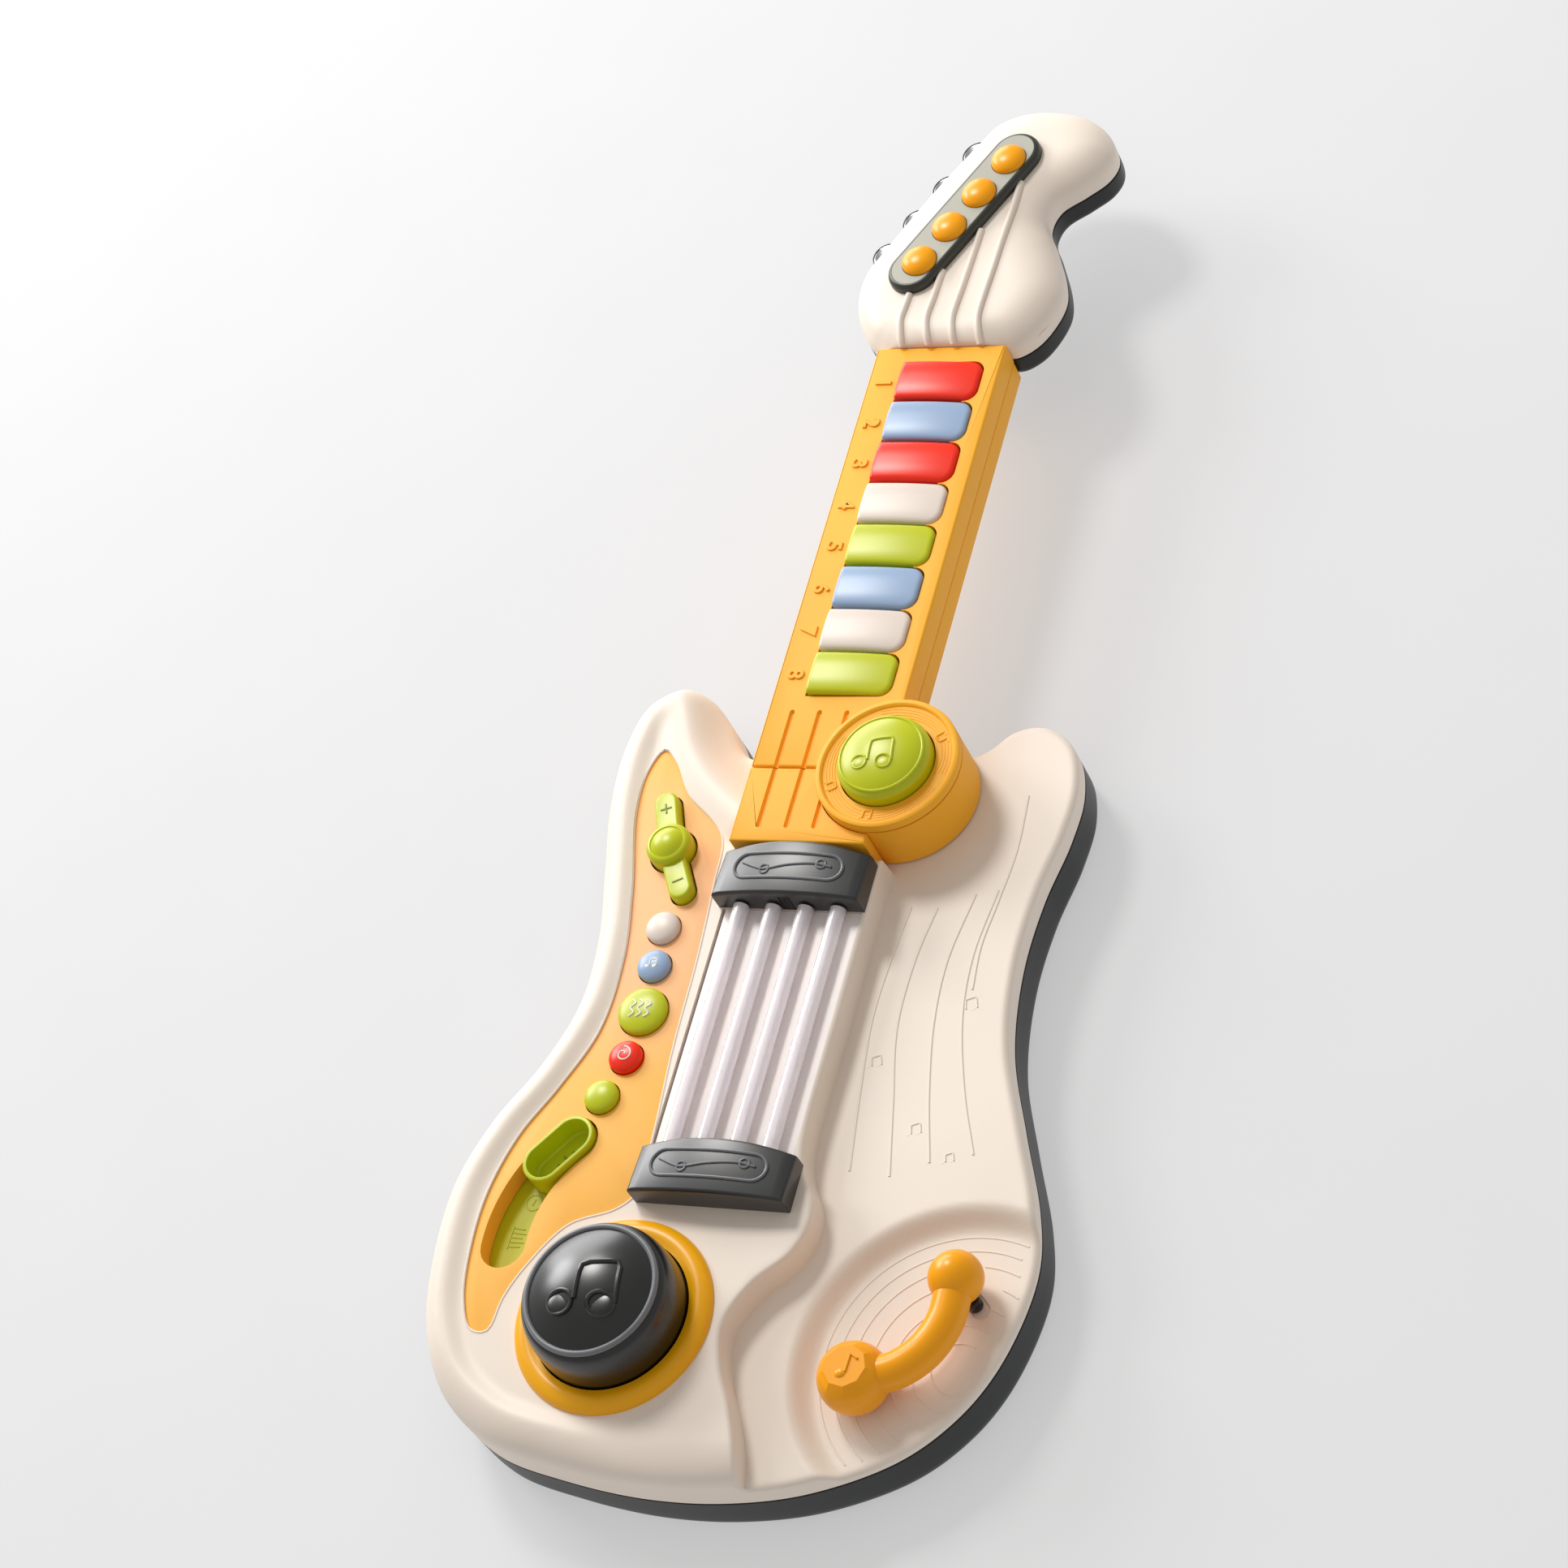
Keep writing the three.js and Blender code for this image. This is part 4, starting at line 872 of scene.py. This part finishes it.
def tremolo():
    (hx, hy), (bx, by) = ARM_HUB, ARM_BALL
    path = smooth([(hx + 5, hy + 0.6, 33.6), (54.6, -220.6, 33.9), (62.6, -213.2, 34.2), (67.0, -203, 34.6),
                   (bx + 0.4, by - 5, 35)], 40, closed=False)
    arm = tube("tremolo_arm", path, 6.4, 28)
    fix_normals(arm)
    hub = blob((hx, hy, 33.3), (12.3, 12.3, 11.8), 0, 24, 48)
    facets = [(0, 20), (13.2, 20), (13.2, 34.5), (11.4, 39.2), (7.4, 42.6), (0, 42.6)]
    combine(hub, "INTERSECT", turned("tool", hx, hy, facets, 9))
    cut(hub, box(hx - 20, hx + 20, hy - 20, hy + 20, -5, 23.7))
    ball = blob((bx, by, 35), (9.4, 9.4, 9.3), 0, 24, 48)
    fuse(arm, hub, ball, cylinder(hx, hy, 4.9, 20.5, 28, 32))
    pin = rounded("tremolo_pin", racetrack(ARM_BALL, (bx + 3.9, by - 3.9), 2.7), 23.4, 28, top=0.8)
    fuse(pin, cylinder(bx, by, 2.4, 22.5, 26, 32))
    piece(pin, SENSOR, "tremolo", "orange_plastic")
    piece(arm, AMBER, "tremolo", "orange_plastic", "tremolo_arm", edge=0.4, angle=17)
    note = [relief([(hx + 0.8, hy - 2), (hx + 1.2, hy + 4.2), (hx + 4.0, hy + 2.8)], 42.7, 0.5),
            blob((hx - 0.8, hy - 2.6, 42.5), (2.1, 1.7, 0.8), 0.4, 8, 24)]
    piece(merged("arm_note", note), AMBER, "tremolo", "orange_plastic")


def plate_lines():
    """Fine moulded lines on the plate: a five-line staff with a few notes, and arcs in the dish."""
    parts = []
    for line in ([(12, -44), (10, -64), (9, -89), (12, -118), (16, -148)],
                 [(22, -44), (19, -65), (19, -92), (25, -121), (31, -149)],
                 [(35, -38), (31, -65), (32, -89), (37, -116), (44, -143)],
                 [(43, -36), (40, -63), (42, -87), (50, -116), (59, -139)],
                 [(45, 3), (46, -20), (44, -41), (42, -59), (43, -76)]):
        parts.append(relief(smooth(line, 60, False), PLATE_Z - 0.25, 0.6, sides=10))
    for x, y, size in ((43, -82, 4.2), (14, -106, 3.6), (35, -131, 3.6), (50, -141, 3.0)):
        parts.append(double_note("tool", (x, y), size, lambda px, py: PLATE_Z - 0.1, 0.4, 0.2))
    for r in (9, 15.5, 23, 30.5, 37, 42.5, 47.5):
        ring = arc(*DISH, r, 60, 300, 59)
        on_plate = (distance(ring, BODY, True) > 3) & inside(ring, BODY)
        clear_of_arm = np.hypot(*(ring - ARM_BALL).T) > 10.5
        runs = [[]]
        for point, keep in zip(ring, on_plate & clear_of_arm):
            if keep:
                runs[-1].append(point)
            else:
                runs.append([])
        parts += [relief(run, DISH_Z - 0.2, 0.45, sides=10) for run in runs if len(run) > 3]
    piece(merged("plate_lines", parts), CREAM, "body", "cream_plastic")


# ---- neck
def grooves(y0, y1):
    """Cutters for the three string lines that run from the neck onto the stub."""
    return [loft("tool", [(z, racetrack((x, y0), (x, y1), half, 6))
                          for z, half in ((47.8, 0.4), (49.3, 1.15))])
            for x in NECK_LINES]


def neck_stub():
    stub = rounded("neck_stub", round_corners(NECK_LEFT, NECK_RIGHT, -31.2, -0.3, 0.6, 0.6, 3), 28.7, NECK_Z,
                   top=0.8, steps=4)
    cut(stub, cylinder(0, 0, BARREL_R + 0.4, 20, ABOVE, 128),
        box(NECK_LEFT + 2.4, -30, -28.8, -2.7, 20, 46.6), *grooves(-24.6, 1))
    piece(stub, ORANGE, "body", "orange_plastic", "neck_stub", edge=0.15)


def neck_shells():
    front = rounded("neck_front", round_corners(NECK_LEFT, NECK_RIGHT, 0.3, NECK_TOP, 0.6, 0.6, 3),
                    39.0, NECK_Z, top=0.9, bottom=0.3, steps=4)
    r = BARREL_R
    fuse(front, turned("tool", 0, 0, [(0, 29), (r - 0.4, 29), (r, 29.5), (r, 49.2), (0, 49.2)], 128))
    key_ends = [key_outline(0.55) + (0, y) for y in KEY_ROWS]
    cut(front, box(KEY_X0 - 0.6, KEY_X1 - 5, KEY_ROWS[-1] - 0.5, KEY_ROWS[0] + KEY_LENGTH + 0.5, 41.3, ABOVE),
        *[prism(end, 41.3, ABOVE) for end in key_ends],
        cylinder(0, 0, 23.5, 42, ABOVE, 64),
        cylinder(0, 0, SPINDLE_R, 20, 45, 48),
        *grooves(-1, 23.6))
    piece(front, ORANGE, "neck", "orange_plastic", "neck_front_shell", edge=0.12, angle=30)
    rear = rounded("neck_rear", round_corners(NECK_LEFT, NECK_RIGHT, 0.3, NECK_TOP, 1.2, 1.2, 4), 29.0, 38.7,
                   top=0.3, bottom=1.6, steps=4)
    cut(rear, cylinder(0, 0, BARREL_R + 0.3, 20, ABOVE, 128),
        box(NECK_LEFT + 2.4, NECK_RIGHT - 2.4, 31, NECK_TOP - 2.4, 31.4, 50))
    piece(rear, ORANGE, "neck", "orange_plastic", "neck_rear_shell", edge=0.12)


def pivot_cap():
    r, face_z = BARREL_R, 52.2
    cap = turned("pivot_cap", 0, 0, [
        (0, 49.5), (r - 0.4, 49.5), (r, 49.9), (r, face_z), (r - 0.3, 53.0), (r - 1.0, 53.4), (r - 1.9, 53.4),
        (r - 2.5, 53.0), (r - 2.8, 52.3), (18.6, face_z), (0, face_z)], 128)
    cut(cap, cylinder(0, 0, 18.1, 45, ABOVE, 128))
    piece(cap, ORANGE, "neck", "orange_plastic", "pivot_cap")
    lines = []
    for k, radius in enumerate((20.0, 21.1, 22.2, 23.3)):
        for start, end in ((150, 335), (-10, 110)):
            wavy = [(radius + 0.5 * sin(3 * a + k * 0.2), a) for a in np.radians(np.linspace(start, end, 40))]
            path = [(far * cos(a), far * sin(a), face_z) for far, a in wavy]
            lines.append(tube("tool", path, 0.24, 6))
    for deg in (205, 262, 30):
        spot = arc(0, 0, 21.6, deg, deg, 0)[0]
        lines.append(double_note("tool", spot, 3.2, lambda x, y: face_z + 0.1, 0.42, radians(deg + 90)))
    piece(merged("cap_staff", lines), ORANGE, "neck", "orange_plastic")


def pivot_button():
    r, shoulder, apex = 17.6, 55.4, 61.6
    button = turned("pivot_button", 0, 0, dome(r, 46.4, shoulder, apex, 16, 0.95), 96)
    piece(button, LIME, "pivot_button", "lime_plastic", "pivot_button")
    surface = dome_top(0, 0, r, shoulder, apex)
    hoop = lifted(circle(0, 0, 15.4, 72), surface, 0.05)
    piece(tube("button_ring", hoop, 0.6, closed=True), LIME, "pivot_button", "lime_plastic")
    piece(double_note("button_note", (-1.6, -0.4), 9, surface, 0.62), LIME, "pivot_button", "lime_plastic")


KEY_COLORS = ["red", "blue", "red", "cream", "lime", "blue", "cream", "lime"]
KEY_MATERIALS = dict(red=RED, blue=BLUE, cream=PALE, lime=LIME)
KEY_X0, KEY_X1, KEY_LENGTH, KEY_PITCH = -41.1, -8.6, 17.75, 19.05
KEY_ROWS = [164.4 - i * KEY_PITCH for i in range(8)]


def key_outline(spare):
    """The outline of a key that starts at y = 0, grown by a clearance."""
    return round_corners(KEY_X0 - spare, KEY_X1 + spare, -spare, KEY_LENGTH + spare, 0.8, 5, 8)


KEY_LOOP = spaced(key_outline(0), 110, True)


def key_height(points):
    """A soft cushion that falls towards its rounded end."""
    x, y = points[:, 0], points[:, 1]
    fall = 2.3 * ((x - KEY_X0) / (KEY_X1 - KEY_X0)) ** 2.4 + 1.0 * np.abs(y / KEY_LENGTH * 2 - 1) ** 3
    return 52.2 - fall - round_over(distance(points, KEY_LOOP, True), 1.1)


def keys():
    for i, (color, y) in enumerate(zip(KEY_COLORS, KEY_ROWS), 1):
        key = height_body(f"key_{i}", KEY_LOOP, [0.1, 0.3, 0.6, 1.1, 1.8], 1.3, key_height, 44)
        fuse(key, box(-44.6, -38, 1.5, KEY_LENGTH - 1.5, 44, 45.8))
        key.data.transform(Matrix.Translation((0, y / 1000, 0)))
        piece(key, KEY_MATERIALS[color], f"key_{i}", f"{color}_plastic", f"key_{i}", angle=50)
        numeral(i, (-48.2, y + KEY_LENGTH / 2, NECK_Z + 0.1))


def numeral(number, centre):
    """A raised number beside a key, read from the side."""
    text = bpy.data.curves.new("numeral", "FONT")
    text.body = str(number)
    text.size = 0.0088
    text.extrude = 0.0004
    text.bevel_depth = 0.00016
    text.offset = 0.0001
    text.align_x = text.align_y = "CENTER"
    flat = in_scene("numeral", text)
    mesh = baked(flat)
    mesh.transform(Matrix.Translation(place(*centre)) @ Matrix.Rotation(-pi / 2, 4, "Z"))
    bpy.data.objects.remove(flat)
    piece(in_scene(f"numeral_{number}", mesh), ORANGE, "neck", "orange_plastic")


# ---- headstock
TUNER_STEP = (8.33, 16.4)
TUNERS = [(-43.4 + i * TUNER_STEP[0], 225.4 + i * TUNER_STEP[1]) for i in range(4)]
TUNER_R = 6.9
EDGE_ANGLE = atan2(TUNER_STEP[1], TUNER_STEP[0])


def tuner_holes(spare, sides):
    return [cylinder(x, y, TUNER_R + spare, 45, 70, sides) for x, y in TUNERS]


def head_height(points):
    """A puffy pillow with a level top, which runs up to the neck nearly at full height."""
    foot, nut_z, top_rise = 43.0, 49.4, 4.3
    top = nut_z + top_rise * swell((points[:, 1] - 190.4) / 11, 2.2)
    return foot + (top - foot) * swell(distance(points, HEAD_SIDES) / 20, 2.6)


def headstock():
    rows = [0.12, 0.4, 0.85, 1.5, 2.3, 3.3, 4.6]
    front = height_body("headstock_front", HEAD, rows, 1.5, head_height, 39.1)
    cut(front, loft("tool", [(38, inset(HEAD, 2.4)), (45, inset(HEAD, 2.6)), (50.5, inset(HEAD, 8))]),
        *tuner_holes(0.3, 40))
    piece(front, CREAM, "neck", "cream_plastic", "headstock_front_shell", angle=40)
    rings = [(29 + 4 * dz, inset(HEAD, 4 * d)) for d, dz in rounding(6)]
    rear = loft("headstock_rear", rings + [(38.4, HEAD), (38.8, inset(HEAD, 0.3))])
    cut(rear, loft("tool", [(31.6, inset(HEAD, 5)), (36, inset(HEAD, 2.4)), (45, inset(HEAD, 2.4))]))
    piece(rear, DARK, "neck", "dark_plastic", "headstock_rear_shell")


def tuner_plate():
    ends = (-46, 222.8), (-17.4, 279)
    rim = [(57.5 - 2.5 * dz, racetrack(*ends, 10.2 - 1.9 * d, 24)) for dz, d in rounding(8)]
    plate = loft("tuner_plate", [(53, racetrack(*ends, 10.2, 24)), *rim])
    cut(plate, *tuner_holes(0.25, 48))
    piece(plate, RIM_DARK, "neck", "dark_plastic", "tuner_plate")
    face = loft("tuner_plate_face", [(z, racetrack(*ends, 8.1, 24)) for z in (57, 57.6)])
    cut(face, *tuner_holes(0.25, 48))
    piece(face, PEWTER, "neck", "dark_plastic")
    for i, (x, y) in enumerate(TUNERS, 1):
        button = turned(f"tuner_button_{i}", x, y, dome(TUNER_R, 49.2, 58.0, 61.3, 12, 0.9), 48)
        piece(button, AMBER, f"tuner_button_{i}", "orange_plastic", f"tuner_button_{i}")


def head_ribs():
    """Four string lines from the nut, bent outward and ending at the tuner plate."""
    ribs = []
    for nut, bend, end in ((-44.4, -46.4, (-45.6, 212.5)), (-33.3, -35.7, (-34.6, 223.5)),
                           (-22.8, -25.0, (-23.4, 243)), (-12.2, -14.5, (-12.8, 266.5))):
        path = smooth([(nut, 190.6), (nut * 0.5 + bend * 0.5, 194.8), (bend, 200.5),
                       (bend * 0.6 + end[0] * 0.4, 120.3 + end[1] * 0.4), end], 40, False)
        z = np.minimum(head_height(path), 53.7) + 0.1
        ribs.append(tube("tool", np.column_stack([path, z]), 1.45, 12))
    piece(merged("head_ribs", ribs), CREAM, "neck", "cream_plastic")


def tuning_peg(i):
    pitch, half_round, first = 18.8, 6.2, (-64.5, 242.1)
    c, s = cos(EDGE_ANGLE), sin(EDGE_ANGLE)
    x0, y0 = first[0] + (i - 1) * pitch * c, first[1] + (i - 1) * pitch * s
    c, s = cos(EDGE_ANGLE + pi / 2), sin(EDGE_ANGLE + pi / 2)
    out = lambda u, v=0.0: (x0 + u * c - v * s, y0 + u * s + v * c)
    loop = [out(3.4 + half_round * cos(a), half_round * sin(a)) for a in np.linspace(-1.67, 1.67, 28)]
    paddle = rounded(f"tuning_peg_{i}", loop, 37.5, 40.5, top=0.8, bottom=0.8, steps=4)
    dish = [(d, 39.9 + 0.024 * d * d) for d in np.linspace(0, 5.6, 10)] + [(5.6, 42), (0, 42)]
    shaft = relief([out(-5), out(3.8)], 39, 1.5, sides=16)
    fix_normals(shaft)
    cut(paddle, turned("tool", *out(4.4), dish, 48))
    fuse(paddle, shaft)
    piece(paddle, CHROME, f"tuning_peg_{i}", "chromed_plastic", f"tuning_peg_{i}")
    rim = tube(f"peg_rim_{i}", lifted(loop, 40.0), 0.5, closed=True)
    piece(rim, GUNMETAL, f"tuning_peg_{i}", "chromed_plastic")


# ---- pieces that keep their CAD shape
def cad_pieces():
    for material, names in (
            (LAVENDER, ["strum_bed"]), (LIME, ["mode_track"]), (SENSOR, ["strum_sensor"]),
            (STEEL, ["pivot_spindle", "battery_door_screw", *[f"case_screw_{i}" for i in (1, 2, 3, 4)]]),
            (BOARD, ["main_circuit_board", "neck_circuit_board"]), (RUBBER, ["key_rubber_strip"]),
            (CELL, ["battery_1", "battery_2", "battery_3"]), (CONE, ["speaker"]), (DARK, ["battery_door"])):
        repaint(material, *[nodes[name] for name in names])


# ---- stage
def stage():
    size = 12.0
    mesh = bpy.data.meshes.new("floor")
    corners = [(-size, -size, 0), (size, -size, 0), (size, size, 0), (-size, size, 0)]
    mesh.from_pydata(corners, [], [(0, 1, 2, 3)])
    floor = in_scene("floor", mesh)
    mesh.materials.append(plastic(
        "floor", (158, 158, 160), 0.85, grain=0, mottle=0.01, Specular_IOR_Level=0.2,
        Emission_Color=(1, 1, 1, 1), Emission_Strength=0.45))


def area_light(name, location, target, size, power, color=(1, 1, 1)):
    data = bpy.data.lights.new(name, "AREA")
    data.shape = "DISK"
    data.size = size
    data.energy = power
    data.color = color
    light = in_scene(name, data)
    light.location = location
    light.rotation_mode = "QUATERNION"
    light.rotation_quaternion = (Vector(target) - Vector(location)).to_track_quat("-Z", "Y")


def lights():
    world = bpy.data.worlds.new("world")
    bpy.context.scene.world = world
    world.use_nodes = True
    set_inputs(world.node_tree.nodes["Background"], Color=(1.0, 0.975, 0.95, 1), Strength=0.47)
    area_light("key", (-0.82, 0.93, 1.5), (0, -0.02, 0), 0.5, 16, (1.0, 0.985, 0.955))
    area_light("left", (-1.7, 0.75, 1.05), (0, 0, 0), 0.8, 16)
    area_light("back_left", (-1.5, 1.6, 0.45), (0, 0, 0.05), 1.8, 34)
    view = bpy.context.scene.view_settings
    view.view_transform = "Standard"
    view.look = "None"


body_front()
body_rear()
control_panel()
drum()
bridge("upper_bridge", -31.8, -53.4, -55.9, 0.8, notch=(-29.9, -25.5))
bridge("lower_bridge", -150, -170.6, -53.8, 4.6)
string_lights()
buttons()
rocker()
slider()
tremolo()
plate_lines()
neck_stub()
neck_shells()
pivot_cap()
pivot_button()
keys()
headstock()
tuner_plate()
head_ribs()
for i in (1, 2, 3, 4):
    tuning_peg(i)
cad_pieces()
stage()
lights()
